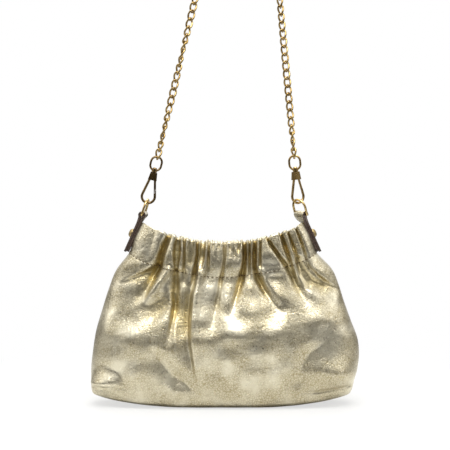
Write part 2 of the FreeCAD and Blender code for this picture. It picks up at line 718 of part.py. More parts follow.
def rivet_axis(side):
    """Where the rivet's axis meets the bag's leather, and its direction out of the bag."""
    _, _, out = side_line(side)
    return on_side(side, size("rivet_height"), 0), out


def rivet_bore(side):
    """The round hole that the rivet's shank passes through."""
    at, out = rivet_axis(side)
    radius = size("rivet_shank") / 2 + size("running_clearance")
    reach = 4 * size("tab_layer")
    return Part.makeCylinder(radius, 2 * reach, at - out * reach, out)


def make_rivet(side):
    """The domed rivet outside the tab, and its cap inside the bag."""
    at, out = rivet_axis(side)
    across = Vector(0, 1, 0)
    outer = size("tab_clearance") + 2 * size("tab_layer")
    inner = size("leather") + size("cloth_gap")
    name = side + "_rivet"
    through = "Sizes.tab_clearance + 2 * Sizes.tab_layer + Sizes.leather + Sizes.cloth_gap"
    dome = turned(name, [
        ("0", f"-({through})"),
        ("Sizes.rivet_shank / 2", f"-({through})"),
        ("Sizes.rivet_shank / 2", "0"),
        ("Sizes.rivet_dome / 2", "0"),
        ("Sizes.rivet_dome / 2", "Sizes.rivet_dome_height * 0.2"),
        ("Sizes.rivet_dome * 0.43", "Sizes.rivet_dome_height * 0.55"),
        ("Sizes.rivet_dome * 0.28", "Sizes.rivet_dome_height * 0.87"),
        ("0", "Sizes.rivet_dome_height"),
    ])
    node(dome, bag_place * frame_of(at + out * outer, across, out))
    cap = turned(name + "_cap", [
        ("0", "0"),
        ("Sizes.rivet_cap / 2", "0"),
        ("Sizes.rivet_cap / 2", "Sizes.rivet_cap_height / 2"),
        ("Sizes.rivet_cap / 3", "Sizes.rivet_cap_height"),
        ("0", "Sizes.rivet_cap_height"),
    ])
    node(cap, bag_place * frame_of(at - out * inner, across, out * -1))


# The pouch

def outline(station, inset):
    """The bag's outline in plan at a station, moved in by a depth of wall."""
    height = size(station + "_height")
    half_width = size(station + "_half_width")
    half_depth = size(station + "_half_depth")
    half_side = size(station + "_half_side")
    return plan(height, half_width, half_depth, half_side, inset)


def plan(height, half_width, half_depth, half_side, inset):
    """Two bulging arcs and two flat sides, with the same wall all round."""
    slope = 2 * math.atan((half_depth - half_side) / half_width)
    x = half_width - inset
    y = half_depth - inset
    side = half_side - inset * (1 - math.sin(slope)) / math.cos(slope)
    corners = [Vector(i * x, j * side, height) for i, j in ((-1, -1), (-1, 1), (1, 1), (1, -1))]
    return Part.Wire([
        Part.LineSegment(corners[0], corners[1]).toShape(),
        Part.Arc(corners[1], Vector(0, y, height), corners[2]).toShape(),
        Part.LineSegment(corners[2], corners[3]).toShape(),
        Part.Arc(corners[3], Vector(0, -y, height), corners[0]).toShape(),
    ])


def band_outline(share, inset):
    """An outline in line with the band's foot (share 0) and the mouth's corner (share 1)."""
    steps = ("height", "half_width", "half_depth", "half_side")
    return plan(*[size("seam_" + w) + share * (size("mouth_" + w) - size("seam_" + w)) for w in steps], inset)


def envelope(inset):
    """The bag's whole form, moved in by a depth of wall and carried on above the mouth to be trimmed."""
    outlines = [outline(station, inset) for station in STATIONS]
    outlines += [band_outline(share, inset) for share in BAND_SHARES]
    return Part.makeLoft(outlines, True, False)


def span(x0, y0, z0, x1, y1, z1):
    return Part.makeBox(x1 - x0, y1 - y0, z1 - z0, Vector(x0, y0, z0))


def under(corner, middle, lift=0.0):
    """All that lies under an edge that sags from two corners to the middle."""
    half, top = corner
    left, low, right = (Vector(-half, -FAR, top + lift), Vector(0, -FAR, middle + lift),
                        Vector(half, -FAR, top + lift))
    ends = [Vector(FAR, -FAR, top + FAR), Vector(FAR, -FAR, -FAR), Vector(-FAR, -FAR, -FAR),
            Vector(-FAR, -FAR, top + FAR)]
    edges = [Part.Arc(left, low, right).toShape(), Part.LineSegment(right, ends[0]).toShape()]
    edges += [Part.LineSegment(ends[i], ends[i + 1]).toShape() for i in range(3)]
    edges.append(Part.LineSegment(ends[3], left).toShape())
    return Part.Face(Part.Wire(edges)).extrude(Vector(0, 2 * FAR, 0))


def under_seam(lift=0.0):
    return under((size("seam_half_width"), size("seam_height")), size("seam_middle_height"), lift)


def under_mouth(lift=0.0):
    return under((size("mouth_half_width"), size("mouth_height")), size("mouth_middle_height"), lift)


HALVES = {"front": -1, "back": 1}


def half_space(which):
    return span(-FAR, -FAR, -FAR, FAR, 0, FAR) if which == "front" else span(-FAR, 0, -FAR, FAR, FAR, FAR)


def wall(inset, thickness):
    return envelope(inset).cut(envelope(inset + thickness))


def reach(form, x, height, sign):
    """How far a form reaches from the middle plane to the front (-1) or the back (1)."""
    probe = Part.LineSegment(Vector(x, 0, height), Vector(x, sign * FAR, height)).toShape()
    return form.common(probe).Length


def fold_axes():
    """The start, the run and the two radii of each round fold, on the front and turned round on the back."""
    form = envelope(0)
    gather = ((size("gather_radius"), size("gather_depth")), (size("gather_spread"), 0))
    crease = ((size("crease_radius"), size("crease_depth")),) * 2
    axes = []
    for ends, rounds in [(g, gather) for g in GATHERS] + [(c, crease) for c in CREASES]:
        points = []
        for (across, up), (radius, depth) in zip(ends, rounds):
            x, height = across * size("seam_half_width"), up * size("seam_height")
            points.append(Vector(x, -reach(form, x, height, -1) - radius + depth, height))
        for turn in (1, -1):
            start, end = [Vector(turn * point.x, turn * point.y, point.z) for point in points]
            axes.append((start, end - start, rounds[0][0], rounds[1][0]))
    return axes


def folded(inset, axes):
    """The bag's form with its folds pressed in, moved in by a depth of wall."""
    tools = [Part.makeCone(first + inset, last + inset, run.Length, start, run) if first != last
             else Part.makeCylinder(first + inset, run.Length, start, run) for start, run, first, last in axes]
    return envelope(inset).cut(tools)


def folded_wall(inset, thickness, axes):
    return folded(inset, axes).cut(folded(inset + thickness, axes))


def make_panels(axes):
    """The front and back leather, gathered under the band and sewn round the base."""
    leather = size("leather")
    skin = folded_wall(0, leather, axes).common(under_seam()).common(span(-FAR, -FAR, leather, FAR, FAR, FAR))
    for which in HALVES:
        node(feature(which + "_panel", skin.common(half_space(which))), bag_place)
    base = envelope(0).common(span(-FAR, -FAR, -leather, FAR, FAR, leather))
    node(feature("base_panel", base), bag_place)


def snap_frame(which):
    """The placement of a snap half on the band's inner face, with Z towards the other half."""
    sign = HALVES[which]
    inside = envelope(2 * size("leather") + size("channel"))
    step = size("snap_diameter") / 4
    height = size("snap_height")
    below, level, above = [sign * reach(inside, 0, height + k * step, sign) for k in (-1, 0, 1)]
    rise = above - below
    up = Vector(0, rise, 2 * step).normalize()
    inward = Vector(1, 0, 0).cross(up)
    inward = inward if inward.y * sign < 0 else inward * -1
    at = Vector(0, level, height) + inward * size("cloth_gap")
    return frame_of(at, Vector(1, 0, 0), inward)


def make_bands():
    """The gathered band round the mouth: leather folded down inside over a flat elastic."""
    leather, channel, gap = size("leather"), size("channel"), size("cloth_gap")
    half = size("band_half_length")
    band = envelope(0).common(under_mouth()).cut(under_seam())
    band = band.cut(envelope(2 * leather + channel))
    ends = envelope(leather).cut(span(-half, -FAR, -FAR, half, FAR, FAR))
    tunnel_half = half - leather
    tunnel = wall(leather, channel).common(span(-tunnel_half, -FAR, -FAR, tunnel_half, FAR, FAR))
    tunnel = tunnel.common(under_mouth(-leather)).cut(under_seam(size("channel_margin")))
    band = band.cut(ends).cut(tunnel)
    strip_half = tunnel_half - gap
    strip = wall(leather + gap, size("elastic_thickness"))
    strip = strip.common(span(-strip_half, -FAR, -FAR, strip_half, FAR, FAR))
    strip = strip.common(under_mouth(-leather - gap)).cut(under_seam(size("channel_margin") + gap))
    for side in SIDES:
        band = band.cut(rivet_bore(side))
    for which in HALVES:
        place = snap_frame(which)
        hole = Part.makeCylinder(size("snap_shank") / 2 + size("running_clearance"), 2 * (leather + gap),
                                 Vector(0, 0, -2 * (leather + gap)))
        hole.Placement = place
        node(feature(which + "_casing", band.common(half_space(which)).cut(hole)), bag_place)
        node(feature(which + "_elastic", strip.common(half_space(which))), bag_place)


def make_snaps():
    """The magnetic snap: a socket half and a post half, each on a washer inside the band."""
    back = "-(Sizes.leather + 2 * Sizes.cloth_gap + Sizes.washer_thickness)"
    shank = [("0", back), ("Sizes.snap_shank / 2", back), ("Sizes.snap_shank / 2", "0"),
             ("Sizes.snap_diameter / 2", "0")]
    rim = "Sizes.snap_thickness"
    socket = shank + [
        ("Sizes.snap_diameter / 2", rim),
        ("Sizes.snap_diameter / 2 - Sizes.snap_lip", rim),
        ("Sizes.snap_post / 2 + Sizes.cloth_gap", "Sizes.snap_thickness * 0.7"),
        ("Sizes.snap_post / 2 + Sizes.cloth_gap", "Sizes.snap_thickness * 0.25"),
        ("0", "Sizes.snap_thickness * 0.25"),
    ]
    post = shank + [
        ("Sizes.snap_diameter / 2", "Sizes.snap_thickness * 0.6"),
        ("Sizes.snap_post / 2", "Sizes.snap_thickness * 0.8"),
        ("Sizes.snap_post / 2", "Sizes.snap_thickness * 0.8 + Sizes.snap_post_height"),
        ("0", "Sizes.snap_thickness * 0.8 + Sizes.snap_post_height"),
    ]
    for which, profile in (("front", socket), ("back", post)):
        place = bag_place * snap_frame(which)
        node(turned(which + "_snap", profile), place)
        name = which + "_snap_washer"
        ring = cut(name,
                   cylinder(name + "_disc", "Sizes.washer_diameter / 2", "Sizes.washer_thickness", Placement()),
                   cylinder(name + "_hole", "Sizes.snap_shank / 2 + Sizes.running_clearance",
                            "Sizes.washer_thickness", Placement()))
        behind = size("leather") + size("cloth_gap") * 2 + size("washer_thickness")
        node(ring, place * Placement(Vector(0, 0, -behind), Rotation()))


def make_inside(axes):
    """The lining sack, the board over the base and the slip pocket."""
    leather, gap = size("leather"), size("cloth_gap")
    board_top = leather + gap / 3 + size("board_thickness")
    board = envelope(size("board_inset")).common(span(-FAR, -FAR, leather + gap / 3, FAR, FAR, board_top))
    node(feature("base_board", board), bag_place)
    cloth = size("lining_thickness")
    floor = board_top + gap / 3
    trimmed = under_seam(-gap)
    sack = folded(leather + gap, axes).common(span(-FAR, -FAR, floor, FAR, FAR, FAR)).common(trimmed)
    hollow = folded(leather + gap + cloth, axes).common(span(-FAR, -FAR, floor + cloth, FAR, FAR, FAR))
    node(feature("lining", sack.cut(hollow)), bag_place)
    patch = folded_wall(leather + 2 * gap + cloth, cloth, axes).common(half_space("back"))
    half = size("pocket_half_width")
    patch = patch.common(span(-half, 0, size("pocket_foot"), half, FAR, size("pocket_top")))
    node(feature("slip_pocket", patch), bag_place)


def write_parts():
    """Stops if any object failed, then writes one file for each piece."""
    doc.recompute()
    failed = [o.Name for o in doc.Objects if {"Invalid", "Error"} & set(o.State)]
    if failed:
        raise RuntimeError(f"failed objects: {failed}")
    for obj in nodes:
        if obj.Shape.isNull() or not obj.Shape.isValid() or not obj.Shape.Solids:
            raise RuntimeError(f"{obj.Label} has no valid solid")
    os.makedirs("parts", exist_ok=True)
    for obj in nodes:
        obj.Shape.exportStep(f"parts/{obj.Label}.step")
        box = obj.Shape.BoundBox
        print(f"{obj.Label}: {len(obj.Shape.Solids)} solids, {obj.Shape.Volume:.1f} mm3, "
              f"x {box.XMin:.2f} {box.XMax:.2f} y {box.YMin:.2f} {box.YMax:.2f} z {box.ZMin:.2f} {box.ZMax:.2f}")


make_strap()
for each in SIDES:
    make_eye(each)
    make_hook(each)
    make_gate(each)
    make_ring(each)
    make_tab(each)
    make_rivet(each)
folds = fold_axes()
make_panels(folds)
make_bands()
make_snaps()
make_inside(folds)
write_parts()
print("bag origin", bag_place.Base)
for each in SIDES:
    frame = hook_frame(each, each + "_hook_turn")
    print(each, "hook", hook_point[each], "run up", run_up[each])
    print(each, "gate pivot", frame.multVec(pivot()), "axis", frame.Rotation.multVec(Vector(0, 1, 0)))
    print(each, "ring bar", ring_bar(each), "axis", ring_axes(each)[1])
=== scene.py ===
# %% [markdown]
# # A gathered leather bag on a chain strap
# The bag is a soft pouch of foil-coated leather, gathered on elastic round its mouth. A curb chain holds
# it by two swivel hooks. The metal comes from the CAD frame and only gets a finish. The leather and cloth
# are modelled here, because a plain solid can't show how leather pleats and puffs. Their sizes are
# millimetres from under the middle of the base, and metres once a mesh is made.

# %% Load the frame
import json
import math

import bpy
import numpy as np
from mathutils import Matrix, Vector


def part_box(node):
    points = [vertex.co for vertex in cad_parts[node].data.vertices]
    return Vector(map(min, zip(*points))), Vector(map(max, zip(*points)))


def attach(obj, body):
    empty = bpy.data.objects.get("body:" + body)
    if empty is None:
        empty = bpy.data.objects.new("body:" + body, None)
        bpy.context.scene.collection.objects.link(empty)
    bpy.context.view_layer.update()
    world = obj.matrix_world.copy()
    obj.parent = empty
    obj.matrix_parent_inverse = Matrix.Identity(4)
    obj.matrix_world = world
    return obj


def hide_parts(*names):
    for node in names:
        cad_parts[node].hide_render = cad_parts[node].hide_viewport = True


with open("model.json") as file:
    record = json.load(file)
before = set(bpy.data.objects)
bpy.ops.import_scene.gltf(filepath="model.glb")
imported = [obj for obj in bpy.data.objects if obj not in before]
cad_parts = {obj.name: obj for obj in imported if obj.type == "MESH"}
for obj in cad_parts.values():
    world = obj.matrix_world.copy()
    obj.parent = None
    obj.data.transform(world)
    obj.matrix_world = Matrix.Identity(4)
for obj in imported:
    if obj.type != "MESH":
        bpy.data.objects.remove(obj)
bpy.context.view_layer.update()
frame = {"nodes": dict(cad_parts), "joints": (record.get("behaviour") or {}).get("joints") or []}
nodes = frame["nodes"]
base_low, base_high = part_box("base_panel")
bag_origin = np.array([(base_low.x + base_high.x) / 2, 0.0, base_low.z])
print("frame:", len(nodes), "nodes, bag origin", bag_origin.round(4))

# %% [markdown]
# ## The camera
# The photograph looks from the front, a little from above, through a long lens. A camera can be matched
# by hand in the viewport. Here it is worked out, because every fold is then placed by where it shows:
# one picture element is 0.955 mm on the plane through the strap, which fixes the lens for a distance.

# %% Camera
PICTURE = 450
MM_PER_PIXEL = 0.955
DISTANCE = 1500.0
ELEVATION = math.radians(5)
AIM = np.array([-20.4, 0.0, -348.1])
SENSOR = 36
NEAREST = 0.05
forward = np.array([0, math.cos(ELEVATION), -math.sin(ELEVATION)])
upward = np.array([0, math.sin(ELEVATION), math.cos(ELEVATION)])
eye = AIM - forward * DISTANCE

camera_data = bpy.data.cameras.new("camera")
camera_data.sensor_width = SENSOR
camera_data.lens = SENSOR * DISTANCE / (MM_PER_PIXEL * PICTURE)
camera_data.clip_start = NEAREST
camera = bpy.data.objects.new("camera", camera_data)
camera.location = eye / 1000
camera.rotation_euler = (math.pi / 2 - ELEVATION, 0, 0)
bpy.context.collection.objects.link(camera)
bpy.context.scene.camera = camera


def in_picture(points):
    """Where points of the bag, in its own millimetres, show in the picture."""
    offset = points + bag_origin * 1000 - eye
    depth = offset @ forward
    scale = DISTANCE / MM_PER_PIXEL / depth
    return PICTURE / 2 + offset[..., 0] * scale, PICTURE / 2 - (offset @ upward) * scale


print("camera lens", round(camera_data.lens, 1), "mm")

# %% [markdown]
# ## Node trees
# A finish is a tree of shader nodes. It can be wired by hand in the shader editor. In a script, a function
# for each kind of node that recurs keeps a material short enough to read.

# %% Helpers for node trees


def linear(code):
    """An sRGB hex colour as linear RGBA."""
    values = [int(code[i:i + 2], 16) / 255 for i in (1, 3, 5)]
    return tuple(v / 12.92 if v <= 0.04045 else ((v + 0.055) / 1.055) ** 2.4 for v in values) + (1.0,)


def feed(tree, node, inputs):
    """Sets inputs to values, or links them to an output. A node stands for its first output."""
    for name, value in inputs.items():
        if isinstance(value, bpy.types.Node):
            value = value.outputs[0]
        if isinstance(value, bpy.types.NodeSocket):
            tree.links.new(value, node.inputs[name])
        else:
            node.inputs[name].default_value = value
    return node


def add_node(tree, kind, inputs, **settings):
    """Adds a shader node, sets it and feeds its inputs."""
    node = tree.nodes.new("ShaderNode" + kind)
    for name, value in settings.items():
        setattr(node, name, value)
    return feed(tree, node, inputs)


def calculate(tree, operation, *values):
    """A Math node."""
    return add_node(tree, "Math", dict(enumerate(values)), operation=operation)


def rescale(tree, value, start, end, low=0.0, high=1.0, kind="LINEAR"):
    """A Map Range node that goes from low to high while a value goes from the start to the end."""
    inputs = {"Value": value, "From Min": start, "From Max": end, "To Min": low, "To Max": high}
    return add_node(tree, "MapRange", inputs, interpolation_type=kind)


def noise(tree, place, size_mm, detail, roughness=0.5):
    """The outputs of a noise whose spots have a size in millimetres."""
    inputs = {"Vector": place, "Scale": 1000 / size_mm, "Detail": detail, "Roughness": roughness}
    return add_node(tree, "TexNoise", inputs).outputs


def mix(tree, factor, first, second):
    """A mix of two colours. A Mix node has its sockets for colours at these numbers."""
    return add_node(tree, "Mix", {0: factor, 6: first, 7: second}, data_type="RGBA").outputs[2]


def ramp(tree, value, stops):
    """A colour ramp with stops from (place, hex colour) pairs."""
    node = add_node(tree, "ValToRGB", {"Fac": value})
    elements = node.color_ramp.elements
    while len(elements) < len(stops):
        elements.new(1.0)
    for element, (place, code) in zip(elements, stops):
        element.position = place
        element.color = linear(code)
    return node


def new_material(name):
    """A material, its node tree, its Principled shader and the coordinates that patterns follow."""
    material = bpy.data.materials.new(name)
    material.use_nodes = True
    tree = material.node_tree
    return material, tree, tree.nodes["Principled BSDF"], add_node(tree, "TexCoord", {}).outputs["Object"]


print("mid grey in linear light:", round(linear("#808080")[0], 3))

# %% [markdown]
# ## The room
# Foil leather is a rough mirror, so it shows mostly the room. A panorama picture could light it, but a
# ramp is easier to tune: a dim lower wall gives the olive greys, a pale ceiling the soft lights, and
# brighter sides lift the flanks. The camera, and what mirrors the wall behind the bag, see plain white.

# %% World
SKY = [(0.0, "#454139"), (0.17, "#4E4A42"), (0.4, "#C6C5C2"), (1.0, "#ECECEA")]
SIDE_START, SIDE_END, SIDE_STRENGTH = 0.45, 0.95, 2.1
BACKDROP_START, BACKDROP_END = 0.5, 0.92

world = bpy.data.worlds.new("studio")
bpy.context.scene.world = world
bpy.context.scene.view_settings.view_transform = "Standard"
world.use_nodes = True
tree = world.node_tree
tree.nodes.clear()
where = add_node(tree, "TexCoord", {})
axes = add_node(tree, "SeparateXYZ", {"Vector": where.outputs["Generated"]}).outputs
sky = ramp(tree, axes["Z"], SKY)
sides = calculate(tree, "ABSOLUTE", axes["X"])
side_light = rescale(tree, sides, SIDE_START, SIDE_END, 1.0, SIDE_STRENGTH, "SMOOTHSTEP")
room = add_node(tree, "Background", {"Color": sky, "Strength": side_light})
plain = add_node(tree, "Background", {"Color": linear("#FFFFFF"), "Strength": 1.0})
behind = rescale(tree, axes["Y"], BACKDROP_START, BACKDROP_END)
path = add_node(tree, "LightPath", {}).outputs
mirrored = calculate(tree, "MAXIMUM", path["Is Glossy Ray"], path["Is Transmission Ray"])
backdrop = calculate(tree, "MULTIPLY", mirrored, behind)
seen = calculate(tree, "MAXIMUM", path["Is Camera Ray"], backdrop)
mixed = add_node(tree, "MixShader", {0: seen, 1: room, 2: plain})
add_node(tree, "OutputWorld", {"Surface": mixed})
print("world:", len(tree.nodes), "nodes")

# %% [markdown]
# ## Lamps
# Product light is soft and comes from above. Point lamps would leave hard sparks on the foil, so area
# lamps stand in for soft boxes: one above the front gives the white patches where the leather leans
# back, one does so behind, and two weak ones fill the sides.

# %% Lamps
MIDDLE_HEIGHT = 0.09
# A name, a place in metres with x counted from the bag's middle, a size in metres, and watts.
LAMPS = [
    ("overhead", (0.0, -0.52, 0.55), (0.9, 0.5), 10),
    ("rear", (0.0, 0.52, 0.55), (0.9, 0.5), 6),
    ("left_fill", (-1.1, -0.3, 0.1), (0.4, 0.8), 1.2),
    ("right_fill", (1.1, -0.3, 0.1), (0.4, 0.8), 1.2),
]
bag_middle = Vector((bag_origin[0], 0.0, bag_origin[2] + MIDDLE_HEIGHT))
for name, (x, y, z), size, power in LAMPS:
    lamp = bpy.data.lights.new(name, "AREA")
    lamp.shape = "RECTANGLE"
    lamp.size, lamp.size_y = size
    lamp.energy = power
    stand = bpy.data.objects.new(name, lamp)
    stand.location = (bag_origin[0] + x, y, z)
    stand.rotation_euler = (bag_middle - stand.location).to_track_quat("-Z", "Y").to_euler()
    bpy.context.collection.objects.link(stand)
print("lamps:", len(LAMPS))

# %% [markdown]
# ## Floor
# The bag hangs just over white paper. A curved sweep could be modelled, but one flat sheet does: it glows
# white, and near the bag the camera sees some matt paper through the glow, which takes a faint shadow.
# In the foil the sheet dims half a metre out, which draws a dark line over the bag's bright belly.

# %% Floor
FLOOR_REACH, FLOOR_GAP = 6.0, 0.0006
SHADOW_START, SHADOW_END, SHADOW_WASH = 0.14, 0.34, 0.65
SWEEP_START, SWEEP_END, SWEEP_NEAR, SWEEP_FAR = 0.3, 0.5, 0.82, 0.06

level = bag_origin[2] - FLOOR_GAP
floor_mesh = bpy.data.meshes.new("floor")
corners = [(FLOOR_REACH * x, FLOOR_REACH * y, level) for x, y in ((-1, -1), (1, -1), (1, 1), (-1, 1))]
floor_mesh.from_pydata(corners, [], [(0, 1, 2, 3)])
floor = bpy.data.objects.new("floor", floor_mesh)
bpy.context.collection.objects.link(floor)

paper = bpy.data.materials.new("white_paper_sweep")
paper.use_nodes = True
tree = paper.node_tree
tree.nodes.clear()
place = add_node(tree, "TexCoord", {}).outputs["Object"]
camera_ray = add_node(tree, "LightPath", {}).outputs["Is Camera Ray"]
from_bag = add_node(tree, "VectorMath", {0: place, 1: (bag_origin[0], 0.0, level)}, operation="DISTANCE")
far = rescale(tree, from_bag.outputs["Value"], SHADOW_START, SHADOW_END, kind="SMOOTHSTEP")
washed = calculate(tree, "MULTIPLY", camera_ray, SHADOW_WASH)
white = calculate(tree, "MAXIMUM", washed, far)
matt = add_node(tree, "BsdfDiffuse", {"Color": linear("#E0E0DE")})
along = add_node(tree, "SeparateXYZ", {"Vector": place})
span = calculate(tree, "ABSOLUTE", along.outputs["Y"])
sweep_light = rescale(tree, span, SWEEP_START, SWEEP_END, SWEEP_NEAR, SWEEP_FAR, "SMOOTHSTEP")
bright = calculate(tree, "MAXIMUM", sweep_light, camera_ray)
glow = add_node(tree, "Emission", {"Color": linear("#FFFFFF"), "Strength": bright})
sweep = add_node(tree, "MixShader", {0: white, 1: matt, 2: glow})
add_node(tree, "OutputMaterial", {"Surface": sweep})
floor_mesh.materials.append(paper)
print("floor at", round(level, 4), "m")

# %% [markdown]
# ## Foil leather
# The hide is coated with a champagne-gold foil and tumbled, which crackles the foil and raises the
# grain. The eye gets a metal of medium roughness, with highlights broken by the grain and patches of
# crackle, and the folds are painted a browner gold as painted shade, for the foil mirroring itself in
# them. An image of leather could be wrapped round the bag, but noise in object space needs no unwrapping
# and keeps its size. The real crackle and grain are about 1 mm, too fine to show, so both are drawn
# about twice as coarse.

# %% Foil leather material
CRACKLE_MM, CRACK_SHARE = 2.2, 0.14
BEND_MM, BEND_SHIFT_MM = 4.0, 2.2
GRAIN_MM, GRAIN_RELIEF_MM = 2.4, 0.6
CRUMPLE_MM, CRUMPLE_RELIEF_MM = 6.0, 1.2
CLOUD_MM, CLOUD_LOW, CLOUD_HIGH = 22.0, 0.36, 0.66
# How deep a fold must be for the painted shade to start and to be full, and its largest share.
FOLD_SHADE_FROM_MM, FOLD_SHADE_FULL_MM, FOLD_SHADE_MOST = 0.3, 7.0, 0.9
FOIL_METALLIC, FOIL_SMOOTH, FOIL_ROUGH = 0.95, 0.25, 0.37


def foil_leather(name, light, dark, crack, fold_shade_colour):
    """A metal foil on leather, with crackle and grain, and painted shade: browner where the attribute
    "fold" is deep.
    """
    material, tree, skin, place = new_material(name)

    # Crackle: cells whose straight edges are bent by noise, with a thin line at each edge.
    bend = noise(tree, place, BEND_MM, 3.0)["Color"]
    shift = add_node(tree, "VectorMath", {0: bend, "Scale": BEND_SHIFT_MM / 1000}, operation="SCALE")
    moved = add_node(tree, "VectorMath", {0: place, 1: shift})
    cells = add_node(tree, "TexVoronoi", {
        "Vector": moved, "Scale": 1000 / CRACKLE_MM}, feature="DISTANCE_TO_EDGE")
    lines = rescale(tree, cells.outputs["Distance"], 0.0, CRACK_SHARE)

    # Clouds: here the foil is whole and pale, and there it is darker and its crackle shows.
    cloud = noise(tree, place, CLOUD_MM, 4.0)["Fac"]
    sound = rescale(tree, cloud, CLOUD_LOW, CLOUD_HIGH)
    tone = mix(tree, sound, linear(dark), linear(light))
    whole = calculate(tree, "MAXIMUM", lines, sound)
    broken = mix(tree, whole, linear(crack), tone)

    # Folds: painted shade. The foil mirrors itself deep in the folds, so the colour is painted browner
    # there.
    fold = add_node(tree, "Attribute", {}, attribute_name="fold").outputs["Fac"]
    deep = rescale(tree, fold, FOLD_SHADE_FROM_MM, FOLD_SHADE_FULL_MM, 0.0, FOLD_SHADE_MOST)
    toned = mix(tree, deep, broken, linear(fold_shade_colour))

    # Grain: it varies the roughness, and with the crackle and a soft crumple it makes the relief.
    grain = noise(tree, place, GRAIN_MM, 3.0, 0.65)["Fac"]
    rough = rescale(tree, grain, 0.3, 0.7, FOIL_SMOOTH, FOIL_ROUGH)
    relief = calculate(tree, "MULTIPLY_ADD", whole, 0.4, grain)
    crumple = noise(tree, place, CRUMPLE_MM, 2.0)["Fac"]
    soft = add_node(tree, "Bump", {
        "Height": crumple, "Strength": 0.3, "Distance": CRUMPLE_RELIEF_MM / 1000})
    bump = add_node(tree, "Bump", {
        "Height": relief, "Strength": 0.45, "Distance": GRAIN_RELIEF_MM / 1000, "Normal": soft})
    feed(tree, skin, {"Base Color": toned, "Metallic": FOIL_METALLIC, "Roughness": rough, "Normal": bump})
    return material


# The last colour is the painted shade: the browner gold put deep in the folds.
champagne = foil_leather("champagne_foil_leather", "#DBD4BE", "#CDC4AB", "#A29572", "#C0AD76")
print("foil leather:", len(champagne.node_tree.nodes), "nodes")

# %% [markdown]
# ## Plated metal
# The chain is bent brass wire and the hooks are castings, plated in gold, toned dark and rubbed bright
# again, so they glint on a brown ground. Each could be painted by hand, but they are only a few picture
# elements wide, so one material with a dark and a light end serves them all.

# %% Plated metal materials
TONING_MM = 4.5
TONED_ROUGHER, RUBBED_SMOOTHER = 0.08, 0.05


def plated_metal(name, light, dark, roughness):
    """Plating that was toned unevenly: rougher where it is dark, smoother where it is light."""
    material, tree, skin, place = new_material(name)
    tone = noise(tree, place, TONING_MM, 3.0)["Fac"]
    colours = ramp(tree, tone, [(0.3, dark), (0.7, light)])
    rough = rescale(tree, tone, 0.0, 1.0, roughness + TONED_ROUGHER, roughness - RUBBED_SMOOTHER)
    feed(tree, skin, {"Base Color": colours, "Metallic": 1.0, "Roughness": rough})
    return material


# Antique gold on tumbled brass wire: warm glints on the crowns of the links, brown between them.
chain_gold = plated_metal("antique_gold_chain", "#C8AE76", "#8A6E3C", 0.26)
# The left hook is given a darker gold that reads as bronze, and the right one a lighter gold.
dark_gold = plated_metal("dark_antique_gold", "#9A8158", "#5E4C30", 0.28)
light_gold = plated_metal("light_antique_gold", "#D3B57C", "#9C7F4C", 0.26)
# The D-rings were hardly toned, so they are a pale and shiny gold.
pale_gold = plated_metal("pale_gold", "#EAD29A", "#C8A868", 0.22)
# Drawn steel wire, grey and only half bright.
spring_steel = plated_metal("spring_steel", "#B8B8B6", "#8C8C8A", 0.3)
# Pressed brass that has dulled: a soft spot of light on each dome.
rivet_brass = plated_metal("dull_brass_rivet", "#B8A478", "#93805A", 0.42)
# Nickel on steel: smooth and bright inside the dark mouth.
snap_plate = plated_metal("nickel_plate", "#D6D0C0", "#ACA694", 0.2)
print("metals from", chain_gold.name, "to", snap_plate.name)

# %% Plate the CAD pieces
metal_of = {"hang_link": chain_gold}
for side, hook_gold in (("left", dark_gold), ("right", light_gold)):
    metal_of[side + "_chain"] = chain_gold
    for piece in ("swivel_eye", "hook", "gate", "gate_pin"):
        metal_of[f"{side}_{piece}"] = hook_gold
    metal_of[side + "_gate_spring"] = spring_steel
    metal_of[side + "_d_ring"] = pale_gold
    metal_of[side + "_rivet"] = metal_of[side + "_rivet_cap"] = rivet_brass
for side in ("front", "back"):
    metal_of[side + "_snap"] = metal_of[side + "_snap_washer"] = snap_plate
for name, metal in metal_of.items():
    mesh = nodes[name].data
    mesh.materials.clear()
    mesh.materials.append(metal)
    for polygon in mesh.polygons:
        polygon.use_smooth = True
print("plated:", len(metal_of), "nodes")

# %% [markdown]
# ## The form of the pouch
# The leather is one skin from the base to the mouth. It could be sculpted or lofted. Here each height is
# a rounded oval: its half widths follow the photograph's outline, its half depth follows the CAD panels,
# and a power rounds its corners. A formula keeps the skin even, so that folds can be added to it.

# %% Outline and depth of the skin


def smooth_curve(pairs):
    """A smooth function through (place, value) pairs."""
    xs, ys = np.array(sorted(pairs), float).T
    slopes = np.gradient(ys, xs)

    def curve(x):
        x = np.clip(x, xs[0], xs[-1])
        i = np.clip(np.searchsorted(xs, x) - 1, 0, len(xs) - 2)
        span = xs[i + 1] - xs[i]
        t = (x - xs[i]) / span
        lead = (2 * t ** 3 - 3 * t ** 2 + 1) * ys[i] + (t ** 3 - 2 * t ** 2 + t) * span * slopes[i]
        return lead + (3 * t ** 2 - 2 * t ** 3) * ys[i + 1] + (t ** 3 - t ** 2) * span * slopes[i + 1]
    return curve


# Each pair is a height over the base and a half width or half depth there.
left_edge = smooth_curve([(0, 123), (2, 124.8), (5, 125.6), (11, 126.2), (24, 126.3), (33, 126.4),
                          (52, 124.4), (71, 121.2), (90, 115.6), (110, 109.3), (129, 101.6),
                          (146, 89), (160, 82.7), (176, 75.5)])
right_edge = smooth_curve([(0, 120.5), (2, 122.4), (5, 123.4), (11, 124.8), (24, 127), (33, 129.2),
                           (48, 131), (62, 129.6), (80, 123), (100, 115.8), (115, 111), (129, 105),
                           (146, 89.6), (160, 83), (176, 75.5)])
depth_at = smooth_curve([(0, 25), (3, 30.5), (7, 34), (14, 37), (28, 40.6), (43, 42.6), (58, 43),
                         (68, 41.6), (80, 37.8), (94, 32.8), (108, 28.8), (124, 24.8), (134, 24.2),
                         (146, 22.7), (160, 19.8), (176, 16.6)])
